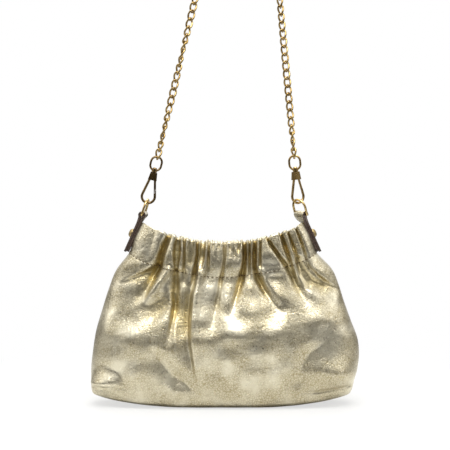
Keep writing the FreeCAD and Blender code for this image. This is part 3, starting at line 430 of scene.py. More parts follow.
# A power of 2 is an ellipse, and more is nearer to a rectangle.
corner_at = smooth_curve([(0, 2.7), (20, 2.6), (60, 2.4), (110, 2.4), (130, 2.7), (146, 3.2), (176, 3.6)])
print("mouth", round(left_edge(176) + right_edge(176)), "mm wide, base", round(2 * depth_at(0)), "mm deep")

# %% Lines across the bag
LIFT, LIFT_START, LIFT_RUN, LIFT_MOST = 8.4, 38, 67, 1.12


def arch(middle, corner, bend):
    """A line's height as a function of where it is, from the left end at -1 to the right end at 1."""
    return lambda across: middle + (corner - middle) * np.abs(across) ** bend


def base_lift(x):
    """The soft corners of the base stand a little off the floor."""
    return LIFT * np.clip((np.abs(x) - LIFT_START) / LIFT_RUN, 0, LIFT_MOST) ** 2


seam_height = arch(124.0, 146.0, 1.9)
mouth_height = arch(157.3, 176.0, 1.75)
print("band", round(mouth_height(0) - seam_height(0), 1), "mm high in the middle")

# %% Columns of the skin
COLUMNS = 960
GUIDE_STEPS, GUIDE_WIDTH, GUIDE_DEPTH, GUIDE_CORNER = 200001, 112, 33, 3
BAND_CORNER = 3.2
# The columns are spaced evenly along one middling oval, so that pleats get points everywhere alike.
fine = np.linspace(0, 2 * math.pi, GUIDE_STEPS)
guide_x = GUIDE_WIDTH * np.sign(np.cos(fine)) * np.abs(np.cos(fine)) ** (2 / GUIDE_CORNER)
guide_y = GUIDE_DEPTH * np.sign(np.sin(fine)) * np.abs(np.sin(fine)) ** (2 / GUIDE_CORNER)
walk = np.hypot(np.gradient(guide_x), np.gradient(guide_y)).cumsum()
angle = np.interp(np.linspace(0, walk[-1], COLUMNS, endpoint=False), walk, fine)
cosine, sine = np.cos(angle), np.sin(angle)
column_across = np.sign(cosine) * np.abs(cosine) ** (2 / BAND_CORNER)


def oval(z):
    """The skin without folds at heights z, one for each column, and its outward directions."""
    power = 2 / corner_at(z)
    across = np.sign(cosine) * np.abs(cosine) ** power
    out = np.sign(sine) * np.abs(sine) ** power
    width = np.where(cosine < 0, left_edge(z), right_edge(z))
    depth = depth_at(z)
    points = np.stack([width * across, -depth * out, z], -1)
    normal = np.stack([np.sign(cosine) * np.abs(across) ** (2 / power - 1) / width,
                       -np.sign(sine) * np.abs(out) ** (2 / power - 1) / depth, np.zeros_like(z)], -1)
    return points, normal / np.linalg.norm(normal, axis=-1, keepdims=True)


print("columns:", COLUMNS, "of which", int((sine > 0).sum()), "in front")

# %% [markdown]
# ## Folds
# The elastic gathers the leather, and its pleats run out over the pouch as folds. A cloth simulation
# gathers too, but not in these places. So each fold is a stroke of points (x, y, depth, width), with the
# depth in millimetres and the rest in picture elements. Valleys press the skin in, ridges raise it, a
# lap lays its right side over its left one, and a puff swells it.

# %% Pleats of the band, from left to right, with their tails on the pouch
PLEATS = [
    [(156, 228, 1, 3), (152, 244, 1.4, 4), (149, 256, 0.8, 4)],
    [(170, 232, 6, 2.4), (164, 246, 8.5, 2.9), (160, 258, 9, 3.2), (158, 267, 8, 3.6),
     (152, 277, 6.6, 4.4), (146, 288, 4, 5.5), (138, 300, 1.6, 7), (130, 311, 0, 8)],
    [(184.5, 237, 5, 1), (184.5, 252, 6, 1.2), (184, 266, 4, 1.4), (184, 276, 1.4, 2),
     (183.5, 288, 0, 3)],
    [(197.5, 240, 6.5, 1.3), (197.5, 254, 8.5, 1.6), (195.5, 267, 7, 1.8), (194, 276, 3.8, 2.4),
     (192.5, 290, 0, 3.4)],
    [(209, 242, 4.5, 0.9), (208.5, 256, 5.5, 1.1), (208, 266, 3, 1.4), (207, 276, 1.2, 2),
     (206, 286, 0, 3)],
    [(213.5, 244, 2.4, 1), (213, 250, 1.2, 1.4), (213, 258, 0, 2)],
    [(219, 244, 2.6, 1.2), (218.5, 250, 1.4, 1.6), (218, 260, 0, 2)],
    [(225, 243, 3, 1.6), (224.5, 258, 3, 1.5), (223, 270, 3.4, 1.4), (221, 280, 4, 2),
     (218.5, 296, 3.6, 2.4), (215, 312, 2.4, 2.6), (210, 330, 0, 3.5)],
    [(230, 246, 2.2, 1), (230, 251, 1, 1.4), (230, 258, 0, 1.6)],
    [(235, 246, 2, 1), (234.5, 252, 1.4, 1.3), (234.5, 262, 0, 1.8)],
    [(240, 243, 4, 1), (238.5, 250, 3, 1.2), (238, 260, 0.4, 1.6)],
    [(244.5, 241, 8, 1.6), (245, 256, 9.5, 1.8), (244, 268, 8, 2), (242, 278, 7, 3.2),
     (238, 292, 5.6, 3.2), (233, 307, 3, 3.6), (227, 322, 0, 5)],
    [(249.5, 241, 6, 0.9), (249.5, 256, 7, 1), (249.5, 268, 4, 1.4), (249.5, 276, 2, 2),
     (249.5, 288, 0, 3)],
    [(255, 240, 8, 1.5), (254.5, 254, 9.5, 1.8), (254.5, 266, 8, 2), (257.5, 278, 7, 3),
     (265, 291, 5.6, 3.4), (274, 303, 3, 4), (284, 316, 0, 5.5)],
    [(260.5, 240, 4.5, 0.9), (260, 254, 5.5, 1), (260, 264, 4, 1.4), (260.5, 274, 2, 2),
     (262, 287, 0, 3)],
    [(267, 237, 5, 1.2), (274, 249, 7, 1.5), (281, 259, 6, 1.8), (287, 266, 6, 2.6),
     (295, 280, 5.6, 4), (302, 295, 3, 5), (309, 307, 0, 6)],
    [(281, 234, 7, 1.3), (285, 246, 8, 1.6), (289, 257, 6, 1.9), (292, 267, 3.6, 2.6),
     (297, 281, 0, 4)],
    [(287.5, 231, 5.5, 0.9), (292, 243, 6.5, 1.1), (296, 254, 4.8, 1.4), (299, 262, 2.8, 2),
     (304, 275, 0, 3.5)],
    [(296, 228, 5, 1), (300.5, 240, 6, 1.2), (305, 253, 4.8, 1.5), (308.5, 263, 2.8, 2.2),
     (313, 276, 0, 3.5)],
]
print("pleats:", len(PLEATS))

# %% Valleys of the pouch, and the creases over its lower corners
VALLEYS = [
    [(175.5, 272, 5, 2.8), (175, 290, 6.4, 3.8), (174.5, 308, 6, 4.4), (170, 330, 3.6, 5.5),
     (165, 350, 0, 7)],
    [(140, 332, 0, 10), (152, 351, 3, 10), (166, 369, 5.2, 9.5), (180, 381, 5.8, 9),
     (190, 388, 4.4, 8), (202, 397, 0, 7)],
    [(352, 334, 0, 10), (330, 341, 1.6, 10), (312, 352, 3.4, 9.5), (302, 368, 4.2, 9),
     (299, 384, 3, 8), (301, 398, 0, 7)],
    [(90, 364, 0, 8), (104, 366, 1.8, 8), (117, 373, 2.8, 8), (124, 384, 2.2, 7.5), (126, 395, 0, 6)],
    [(304, 267, 0.6, 6), (314, 281, 3.6, 8), (326, 288, 3.8, 8.5), (341, 293, 0, 8)],
    [(121, 284, 0, 5), (134, 279.5, 2.6, 5.5), (147, 274, 3.4, 5.5), (158, 267, 1.6, 4.5)],
    [(91, 388, 2.8, 1.3), (105, 389.5, 2.8, 1.3), (124, 389.5, 0.4, 1.3)],
    [(300, 394, 0.4, 1.3), (318, 393.5, 2.4, 1.3), (338, 391, 3, 1.3), (351, 388, 2.8, 1.3)],
]
print("valleys:", len(VALLEYS))

# %% Sunk strips, which are flat at the bottom
SUNK = [
    [(178.5, 236, 4, 1.8), (177.5, 244, 5.5, 3.4), (177, 251, 6, 4), (176.5, 260, 5.5, 3.2),
     (176, 270, 3, 1.6)],
    [(192, 239, 3, 1.8), (191, 246, 3.8, 3.8), (190.5, 253, 4.2, 4.4), (189.5, 262, 3.4, 3.6),
     (188.5, 271, 1, 2)],
    [(203, 241, 5, 2.8), (202, 256, 5.6, 2.8), (200, 267, 2.8, 2.4)],
    [(292, 236, 1.2, 3.6), (296, 248, 1.4, 3.8), (299, 256, 0.6, 3.4)],
    [(183, 276, 2, 6.5), (182.5, 310, 3.2, 7), (183, 335, 4.2, 7), (186, 360, 2.4, 7), (190, 386, 0, 6)],
    [(172, 292, 0, 7), (162, 303, 3.2, 9), (150, 313, 3, 10), (138, 318, 0.6, 10)],
    [(299, 260, 2.4, 4), (304, 273, 3.6, 5), (312, 284, 3, 6), (326, 292, 0, 7)],
]
print("sunk strips:", len(SUNK))

# %% Ridges between the folds
RIDGES = [
    [(168.5, 270, 3.2, 3.4), (161, 281, 4.2, 4), (153, 293, 3, 5), (145, 303, 0, 7)],
    [(202, 275, 2.2, 3), (197, 294, 2.4, 3.2), (194.5, 318, 1.6, 3.6), (194.5, 340, 0, 4)],
    [(206, 278, 0, 6), (205, 300, 1.2, 8), (203, 320, 2.4, 9), (202, 342, 0, 10)],
    [(259, 272, 1.6, 5), (268, 272, 2.6, 5.5), (279, 271, 2.2, 5)],
    [(231, 282, 0, 5), (228, 300, 1, 7), (226, 318, 2, 9), (225, 336, 0, 10)],
    [(250, 280, 0, 6), (251, 296, 1.2, 8), (252, 312, 2.8, 9), (252, 326, 2, 10), (252, 342, 0, 10)],
    [(272, 278, 0, 6), (280, 298, 1, 9), (284, 316, 2, 10), (286, 336, 0, 10)],
    [(261, 270, 2, 3), (266, 281, 2.4, 4), (273, 291, 1.4, 6), (280, 300, 0, 8)],
    [(308, 275, 0.6, 5), (315, 291, 1.6, 6), (320, 303, 0, 8)],
    [(126, 262, 0.6, 6), (140, 265, 1.4, 5), (152, 260, 0.8, 5)],
    [(234.5, 241, 1.4, 1.1), (235.5, 249, 1.8, 1.1), (238.3, 254.5, 1.6, 1.2), (241, 249, 1.8, 1.1),
     (241.4, 242, 1.4, 1.1)],
]
print("ridges:", len(RIDGES))

# %% Laps, and puffs as (x, y, half width, half height, rise)
LAPS = [
    [(119, 283, 0, 4), (131, 277.5, 1.4, 5), (146, 271, 1.8, 5.5), (158, 264, 1, 5)],
    [(305, 259, 1.2, 5), (312, 268, 2.2, 6), (319, 275.5, 2.6, 7), (330, 283, 2, 7),
     (341, 289, 0.8, 6), (348, 292, 0, 5)],
    [(161, 267, 2, 5), (155, 280, 3.4, 6.5), (148, 292, 2.6, 7), (142, 304, 0, 7)],
    [(167, 342, 0, 6), (171.4, 318, 2.6, 7), (173, 303, 2.6, 7), (170, 290, 0.6, 5)],
    [(197, 273, 3.4, 9), (192, 294, 5, 11), (189.6, 320, 5, 12), (189.6, 346, 4, 12),
     (193, 366, 2.6, 11), (197, 386, 0.5, 9)],
]
PUFFS = [
    (103, 385, 15, 8.5, 5.8), (335, 374, 17, 11, 7.6), (137, 341, 24, 13, 3), (320, 318, 22, 16, 4),
    (203, 340, 13, 13, 2.8), (232, 334, 14, 13, 3.4), (276, 334, 15, 13, 3.4), (227, 303, 7, 9, 1.8),
    (280, 296, 10, 9, 2), (182, 290, 5, 7, 1.2), (110, 322, 13, 14, 1.8),
]
print("laps:", len(LAPS), "puffs:", len(PUFFS))

# %% [markdown]
# ## The field of folds
# All strokes add up to one field: how far the skin stands out at each place in the picture. A displace
# modifier with a painted image could do that. Here the field is worked out, at three points to a picture
# element. It is blurred below the stitched row, where folds are soft, and the pleats above stay crisp.

# %% Fold field
SHARP, ROUND, FLAT_BOTTOMED = 1.5, 2, 4
LAP_UNDER, LAP_UNDER_WIDTH, LAP_EDGE, LAP_LIMIT = 0.8, 0.45, 0.5, 40
RIPPLE = 0.22
RIPPLE_WAVES = ((0.21, 0.13, 0.0), (0.11, -0.19, 1.3), (0.05, 0.27, 0.0))


def along_stroke(px, py, stroke):
    """Signed distance from a stroke (right of it is positive), with its depth and width there."""
    best = np.full(px.shape, np.inf)
    signed, depth, width = np.zeros(px.shape), np.zeros(px.shape), np.ones(px.shape)
    for (x0, y0, d0, w0), (x1, y1, d1, w1) in zip(stroke, stroke[1:]):
        dx, dy = x1 - x0, y1 - y0
        length = math.hypot(dx, dy)
        t = np.clip(((px - x0) * dx + (py - y0) * dy) / length ** 2, 0, 1)
        away = np.hypot(px - x0 - t * dx, py - y0 - t * dy)
        nearer = away < best
        best = np.where(nearer, away, best)
        side = np.sign((px - x0) * dy - (py - y0) * dx)
        signed = np.where(nearer, side * away, signed)
        depth = np.where(nearer, d0 + (d1 - d0) * t, depth)
        width = np.where(nearer, w0 + (w1 - w0) * t, width)
    return signed, depth, width


def drawn_folds(px, py):
    """How far the strokes move the skin out, in millimetres, at places in the picture."""
    total = np.zeros(px.shape)
    kinds = (PLEATS + VALLEYS, -1, SHARP), (SUNK, -1, FLAT_BOTTOMED), (RIDGES, 1, ROUND)
    for strokes, sign, power in kinds:
        for stroke in strokes:
            signed, depth, width = along_stroke(px, py, stroke)
            total += sign * depth * np.exp(-np.abs(signed / width) ** power)
    for stroke in LAPS:
        signed, depth, width = along_stroke(px, py, stroke)
        over = np.exp(-(signed / width) ** 2)
        under = -LAP_UNDER * np.exp(-(signed / (LAP_UNDER_WIDTH * width)) ** 2)
        edge = 1 / (1 + np.exp(-np.clip(signed / LAP_EDGE, -LAP_LIMIT, LAP_LIMIT)))
        total += depth * (over * edge + under * (1 - edge))
    for x, y, rx, ry, rise in PUFFS:
        total += rise * np.exp(-((px - x) / rx) ** 2 - ((py - y) / ry) ** 2)
    ripple = sum(np.sin(px * a + py * b + start) for a, b, start in RIPPLE_WAVES)
    return total + RIPPLE * ripple


FIELD_STEP = 1 / 3
FIELD_LEFT, FIELD_RIGHT, FIELD_TOP, FIELD_BOTTOM = 80, 370, 205, 415
BLUR_PASSES, BLUR_FROM, BLUR_OVER = 16, 274, 16
field_x = np.arange(FIELD_LEFT, FIELD_RIGHT, FIELD_STEP)
field_y = np.arange(FIELD_TOP, FIELD_BOTTOM, FIELD_STEP)
drawn = drawn_folds(*np.meshgrid(field_x, field_y))
blurred = drawn
for _ in range(BLUR_PASSES):
    for axis in (0, 1):
        blurred = (np.roll(blurred, 1, axis) + 2 * blurred + np.roll(blurred, -1, axis)) / 4
below_seam = np.clip((field_y - BLUR_FROM) / BLUR_OVER, 0, 1)[:, None]
field = drawn + (blurred - drawn) * below_seam
print("folds from", round(field.min(), 1), "to", round(field.max(), 1), "mm")

# %% [markdown]
# ## Folds on the skin
# Each point of the skin takes the fold that lies where the point shows in the picture. The photograph
# doesn't show the back. Such a bag is gathered alike on both sides, so the back takes the same field the
# other way round, moved a little so that the two differ. At the sides the folds fade.

# %% Folds at a point of the skin
BACK_SHIFT = 3.0, 1.5
BACK_SHARE = 0.9
SIDE_FADE = 0.42
LAST_CELL = 1.01
BAG_PX = in_picture(np.zeros((1, 3)))[0][0]


def folds(px, py):
    """The folds at places in the picture, read between the points of the field."""
    u = np.clip((px - field_x[0]) / FIELD_STEP, 0, len(field_x) - LAST_CELL)
    v = np.clip((py - field_y[0]) / FIELD_STEP, 0, len(field_y) - LAST_CELL)
    i, j = u.astype(int), v.astype(int)
    u, v = u - i, v - j
    upper = field[j, i] * (1 - u) + field[j, i + 1] * u
    lower = field[j + 1, i] * (1 - u) + field[j + 1, i + 1] * u
    return upper * (1 - v) + lower * v


def fold_at(points, front):
    """The folds at points of the front or the back, and how far down the picture they were read."""
    px, py = in_picture(np.where(front[:, None], points, points * np.array([1, -1, 1])))
    px = np.where(front, px, 2 * BAG_PX - px + BACK_SHIFT[0])
    py = np.where(front, py, py + BACK_SHIFT[1])
    return folds(px, py), py


def fold_of(points):
    """The folds for a row of the skin, a little less on the back and none at the sides."""
    front = sine > 0
    fade = np.clip(np.abs(sine) / SIDE_FADE, 0, 1)
    fade = fade * fade * (3 - 2 * fade)
    return fold_at(points, front)[0] * np.where(front, 1, BACK_SHARE) * fade


print("the bag's middle shows at x =", round(BAG_PX, 1))

# %% Rows of the skin
GROOVE_DEPTH, GROOVE_WIDTH = 0.12, 1.2


def skin_row(z, inward=0.0):
    """One ring of the skin at heights z, moved in by a depth. The stitched row pulls it in a little."""
    points, normal = oval(z)
    from_seam = z - seam_height(column_across)
    out = fold_of(points) - GROOVE_DEPTH * np.exp(-(from_seam / GROOVE_WIDTH) ** 2)
    return points + normal * (out - inward)[..., None]


seam_line = seam_height(column_across)
seam_ring = skin_row(seam_line)
girth = np.linalg.norm(np.roll(seam_ring, -1, 0) - seam_ring, axis=1).sum()
print("the stitched row is", round(girth), "mm round with its folds")

# %% [markdown]
# ## From rings to meshes
# Rings with the same number of points are joined by quads, which shade smoothly. A skin could be drawn
# with two sides, but a Solidify modifier adds the thickness in one step, and the result is kept as mesh.
# The depth of each fold is stored on the points, for the painted shade in the leather's folds.

# %% Meshes from rings


def to_world(points):
    """Points of the bag in millimetres as metres in the frame."""
    return points / 1000 + bag_origin


def add_object(name, points, faces, material):
    """A smooth mesh object of one material, from points in the bag's millimetres."""
    mesh = bpy.data.meshes.new(name)
    mesh.from_pydata(to_world(np.array(points)).tolist(), [], faces)
    mesh.update()
    mesh.materials.append(material)
    mesh.polygons.foreach_set("use_smooth", [True] * len(mesh.polygons))
    obj = bpy.data.objects.new(name, mesh)
    bpy.context.collection.objects.link(obj)
    return obj


def ring_mesh(name, rings, material, close_first=False, close_last=False):
    """A mesh of closed rings joined to each other, with its first or last ring filled if asked."""
    rings = np.array(rings)
    count, around = rings.shape[:2]
    index = np.arange(count * around).reshape(count, around)
    a, b = index[:-1], index[1:]
    faces = np.stack([a, b, np.roll(b, -1, 1), np.roll(a, -1, 1)], -1).reshape(-1, 4).tolist()
    points = list(rings.reshape(-1, 3))
    for wanted, end, way in ((close_first, 0, 1), (close_last, -1, -1)):
        if wanted:
            ring = index[end].tolist()
            faces += [(len(points), *pair[::way]) for pair in zip(ring, ring[1:] + ring[:1])]
            points.append(rings[end].mean(0))
    return add_object(name, points, faces, material)


def thicken(obj, thickness):
    """Gives a skin its thickness, inwards, and keeps the result as plain mesh."""
    solid = obj.modifiers.new("thickness", "SOLIDIFY")
    solid.thickness = thickness / 1000
    solid.offset = -1
    solid.use_even_offset = False
    depsgraph = bpy.context.evaluated_depsgraph_get()
    mesh = bpy.data.meshes.new_from_object(obj.evaluated_get(depsgraph))
    obj.modifiers.clear()
    obj.data = mesh


BACK_DROP = 3.5
# Where the painted shade in the folds fades out, down the picture.
FOLD_SHADE_END_PX, FOLD_SHADE_FADE_PX = 346, 20
RIM_HALF, RIM_CLEAR, RIM_FADE = 76, 1.5, 3


def paint_fold_shade(obj):
    """Keeps how deep each point lies in a fold, in millimetres, for the painted shade, but not at the rim
    or low on the bag.
    """
    flat = np.empty(3 * len(obj.data.vertices))
    obj.data.vertices.foreach_get("co", flat)
    points = (flat.reshape(-1, 3) - bag_origin) * 1000
    front = points[:, 1] < 0
    out, py = fold_at(points, front)
    gathered = np.clip((FOLD_SHADE_END_PX - py) / FOLD_SHADE_FADE_PX, 0, 1)
    rim = mouth_height(np.clip(points[:, 0] / RIM_HALF, -1, 1)) - np.where(front, 0, BACK_DROP)
    under_rim = np.clip((rim - RIM_CLEAR - points[:, 2]) / RIM_FADE, 0, 1)
    depth = obj.data.attributes.new("fold", "FLOAT", "POINT")
    depth.data.foreach_set("value", -out * gathered * under_rim)


print("middle of the stitched row:", to_world(np.array([0, 0, seam_height(0)])).round(4))

# %% [markdown]
# ## The pouch
# The front, back and base are sewn into one sack. They could be three meshes, but no seam shows on the
# soft edge of the base, so they are one. It stops at the stitched row and turns in under the band.

# %% Pouch
LEATHER = 1.3
BASE_INNER, BASE_OUTER, BASE_RINGS = 0.06, 0.97, 14
FIRST_ROW, ROW_CROWDING = 0.2, 1.15
FOOT_HALF, FOOT_SHARE = 108, 0.25
TUCKS = ((0.5, 0.25), (1.2, 0.8), (2.0, 1.3))
WALL_ROWS = 150


def base_ring(share, floor_height):
    """A ring of the base at a share of its size, at a height over the bag's underside."""
    points, _ = oval(np.zeros(COLUMNS))
    points = points * np.array([share, share, 1])
    points[:, 2] = base_lift(points[:, 0]) + floor_height
    return points


def sack_rows(inward, floor_height, top_gap, rows):
    """Rings from the middle of the base up to the stitched row, and a little in under the band."""
    rings = [base_ring(share, floor_height) for share in np.linspace(BASE_INNER, BASE_OUTER, BASE_RINGS)]
    foot = base_lift(FOOT_HALF * column_across) + floor_height
    top = seam_line - top_gap
    for t in np.linspace(0, 1, rows) ** ROW_CROWDING:
        ring = skin_row(FIRST_ROW + (top - FIRST_ROW) * t, inward)
        ring[:, 2] += foot * np.clip(1 - t / FOOT_SHARE, 0, 1) ** 2
        rings.append(ring)
    for rise, tuck in TUCKS:
        rings.append(skin_row(top + rise, inward + tuck))
    return rings


pouch = ring_mesh("pouch", sack_rows(0.0, 0.0, 0.0, WALL_ROWS), champagne, close_first=True)
thicken(pouch, LEATHER)
paint_fold_shade(pouch)
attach(pouch, "bag")
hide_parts("front_panel", "back_panel", "base_panel")
print("pouch:", len(pouch.data.vertices), "points")

# %% [markdown]
# ## The gathered band
# The top of the leather is folded down inside and stitched into a tunnel, and elastic pulls it into
# pleats. A cloth with a shrinking edge could gather, but these pleats have to meet the drawn folds. So the
# band follows the same field: up its outside, over its edge and down its inside, with a flat seat for
# the snap.

# %% Rings of the band
TUNNEL, TUNNEL_END, TUNNEL_FADE = 3.6, 0.78, 0.12
UPRIGHT, UPRIGHT_END, UPRIGHT_FADE = 3.2, 1.1, 0.5
EDGE_ROLL, EDGE_CROWN, EDGE_STEPS = 1.2, 2.2, 9
SCALLOP, SCALLOP_BELOW, SCALLOP_DEEP, SCALLOP_HIGH = 0.42, 4, -7, 3
OUTSIDE_ROWS, BAND_BULGE = 44, 0.8
INSIDE_ROWS, INSIDE_START, INSIDE_FOOT, CLOSING = 18, 0.04, 2.7, 0.3
SNAP_HEIGHT, SNAP_SEAT, SNAP_REACH, SNAP_SHARE = 139.0, 5.5, 9, 1.7


def band_rows():
    """Rings up the outside of the band, over its edge and down its inside."""
    from_middle = np.abs(column_across)
    high = mouth_height(column_across) - BACK_DROP * np.clip(0.5 - sine * 2, 0, 1)
    crest_height = high - EDGE_ROLL
    tunnel = LEATHER + TUNNEL * np.clip((TUNNEL_END - from_middle) / TUNNEL_FADE, 0, 1)
    upright = UPRIGHT * np.clip((UPRIGHT_END - from_middle) / UPRIGHT_FADE, 0, 1)
    scallop = SCALLOP * np.clip(fold_of(oval(high - SCALLOP_BELOW)[0]), SCALLOP_DEEP, SCALLOP_HIGH)
    _, normal = oval(high)
    rings = []
    for t in np.linspace(0, 1, OUTSIDE_ROWS):
        lean = upright * math.sin(math.pi / 2 * t) + BAND_BULGE * math.sin(math.pi * t)
        ring = skin_row(seam_line + (crest_height - seam_line) * t, -lean)
        ring[:, 2] += scallop * t ** 3
        rings.append(ring)
    crest = skin_row(crest_height, -upright)
    half = tunnel / 2
    for turn in np.linspace(0, math.pi, EDGE_STEPS)[1:]:
        ring = crest - (half * (1 - math.cos(turn)))[:, None] * normal
        ring[:, 2] += scallop + np.minimum(half, EDGE_CROWN) * math.sin(turn)
        rings.append(ring)
    for t in np.linspace(INSIDE_START, 1, INSIDE_ROWS):
        z = crest_height - (crest_height - seam_line) * t
        inset = tunnel * (1 - t ** 3) + INSIDE_FOOT * t ** 3
        ring = skin_row(z, -upright * (1 - t)) - inset[:, None] * normal
        ring[:, 2] += scallop * (1 - t) ** 3
        seat = oval(z)[0] - SNAP_SEAT * normal
        flat = np.clip(SNAP_SHARE - np.hypot(seat[:, 0], z - SNAP_HEIGHT) / SNAP_REACH, 0, 1)[:, None]
        rings.append(ring + (seat - ring) * flat * flat * (3 - 2 * flat))
    rings.append(rings[0] - CLOSING * normal)
    return rings


print("rings of the band:", OUTSIDE_ROWS + EDGE_STEPS + INSIDE_ROWS)

# %% Band
band = ring_mesh("gathered_band", band_rows(), champagne)
paint_fold_shade(band)
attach(band, "bag")
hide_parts("front_casing", "back_casing", "front_elastic", "back_elastic")
print("band:", len(band.data.vertices), "points")

# %% [markdown]
# ## Thread and cloth
# Both are spun yarn, and the eye gets a fine ribbing, matt on cloth and a little shiny on waxed thread.
# An image of cloth could be tiled, but a wave texture in object space repeats at the yarn's real pitch.

# %% Woven materials
# At a scale of 1 a wave texture repeats about every 0.314 m.
WAVE_PERIOD_MM = 314
YARN_RELIEF_MM = 0.3


def woven(name, light, dark, pitch_mm, roughness):
    """Yarns side by side at a real pitch, with painted shade: lighter on top and darker between them."""
    material, tree, skin, place = new_material(name)
    yarn = add_node(tree, "TexWave", {
        "Vector": place, "Scale": WAVE_PERIOD_MM / pitch_mm, "Distortion": 1.5, "Detail": 2.0},
        bands_direction="DIAGONAL").outputs["Fac"]
    # Painted shade: the colour darkens in the grooves between yarns, where the bump also sinks.
    colours = ramp(tree, yarn, [(0.2, dark), (0.8, light)])
    bump = add_node(tree, "Bump", {"Height": yarn, "Strength": 0.4, "Distance": YARN_RELIEF_MM / 1000})
    feed(tree, skin, {"Base Color": colours, "Roughness": roughness, "Normal": bump})
    return material


# Thread in dark brown: partly its own colour, partly painted shade of the holes it sinks into.
waxed_thread_and_hole_shade = woven("waxed_thread_and_hole_shade", "#6E5A34", "#3E3018", 0.5, 0.55)
lining_cloth = woven("plain_weave_lining", "#75654E", "#574A38", 0.6, 0.8)
# Pressed fibre with a ribbed face, dull and even.
bag_board = woven("bag_board", "#7A6D5C", "#6B5F4F", 2.0, 0.85)
print("woven:", waxed_thread_and_hole_shade.name, lining_cloth.name, bag_board.name)

# %% [markdown]
# ## The stitched row
# A lockstitch in waxed thread closes the tunnel. Its stitches are about 4 mm apart and sink into the
# leather. The thread's dark brown is partly its own colour and partly painted shade of the stitch holes,
# so they read as short dark dashes. A texture could paint them, but real ones stand up and cast a
# shadow, so each is a short rod with round ends.

# %% Stitches
STITCH_PITCH, STITCH_LENGTH, THREAD = 4.2, 2.2, 0.9
STITCH_START, STITCH_LOOK, STITCH_PROUD = 0.6, 2, 0.15
ROD_SIDES, ROD_STEPS, ROD_TIP = 6, 3, 0.02


def unit(v):
    """A vector of length 1 that points the same way."""
    return v / np.linalg.norm(v)


def stitch_rod():
    """The points of a short rod with round ends, along X, and its faces."""
    points, faces = [], []
    for k in range(-ROD_STEPS, ROD_STEPS + 1):
        turn = math.pi / 2 * k / ROD_STEPS
        x = np.sign(k) * (STITCH_LENGTH / 2 - THREAD / 2) + THREAD / 2 * math.sin(turn)
        r = max(THREAD / 2 * math.cos(turn), ROD_TIP)
        for a in np.arange(ROD_SIDES) * 2 * math.pi / ROD_SIDES:
            points.append((x, r * math.cos(a), r * math.sin(a)))
    last = len(points) - ROD_SIDES
    for first in range(0, last, ROD_SIDES):
        for k in range(ROD_SIDES):
            a, b = first + k, first + (k + 1) % ROD_SIDES
            faces.append((a, b, b + ROD_SIDES, a + ROD_SIDES))
    return np.array(points), faces + [range(ROD_SIDES - 1, -1, -1), range(last, last + ROD_SIDES)]


def stitch_row(name, ring, normal):
    """Stitches laid along a closed ring of the skin, as one mesh."""
    closed = np.vstack([ring, ring[:1]])
    turned = np.vstack([normal, normal[:1]])
    walk = np.concatenate([[0], np.linalg.norm(np.diff(closed, axis=0), axis=1).cumsum()])

    def at(distance, values):
        """What is given for each point of the ring, at a distance along it."""
        return np.array([np.interp(distance, walk, values[:, k]) for k in range(3)])

    rod, rod_faces = stitch_rod()
    points, faces = [], []
    for start in np.arange(0, walk[-1] - STITCH_PITCH, STITCH_PITCH):
        one = at(start + STITCH_START, closed)
        two = at(start + (STITCH_START + STITCH_LENGTH), closed)
        along = unit(two - one)
        side = unit(np.cross(at(start + STITCH_LOOK, turned), along))
        out = np.cross(along, side)
        faces += [[len(points) + k for k in face] for face in rod_faces]
        points += list((one + two) / 2 + STITCH_PROUD * out + rod @ np.array([along, side, out]))
    return add_object(name, points, faces, waxed_thread_and_hole_shade)


stitches = stitch_row("seam_stitches", seam_ring, oval(seam_line)[1])
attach(stitches, "bag")
print("stitches:", len(stitches.data.polygons), "faces")

# %% [markdown]
# ## The side tabs
# Each tab is a leather strap folded round the bar of the D-ring, with both layers riveted to the bag. A
# curve with a bevel could make it, but would twist in the fold, so a rounded section is carried along a
# path that says which way its width points. The faces have the bag's foil, and the cut edges, which show
# from the front, are painted dark brown.

# %% Edge paint
# Acrylic paint, brushed on in coats and rubbed: dark brown with faint streaks and a satin sheen.
STREAK_MM = 1.4
edge_paint, tree, skin, place = new_material("dark_edge_paint")
streak = noise(tree, place, STREAK_MM, 3.0)["Fac"]
browns = ramp(tree, streak, [(0.3, "#33271F"), (0.7, "#54443A")])
feed(tree, skin, {"Base Color": browns, "Roughness": 0.5})
print("edge paint:", len(tree.nodes), "nodes")

# %% Path of a tab
TAB_WIDTH, TAB_LAYER, TAB_GAP, LAYER_GAP = 13.0, 2.35, 0.3, 0.1
SIDE_LOW, SIDE_HIGH = (89.2, 146), (77.5, 172)
TAB_END, INNER_TOP, OUTER_TOP = 147, 174, 175
BAR_RADIUS = 1.4
SIDE_STEPS, FOLD_STEPS, SMOOTHING = 12, 25, 2
joint_of = {joint["name"]: joint for joint in frame["joints"]}


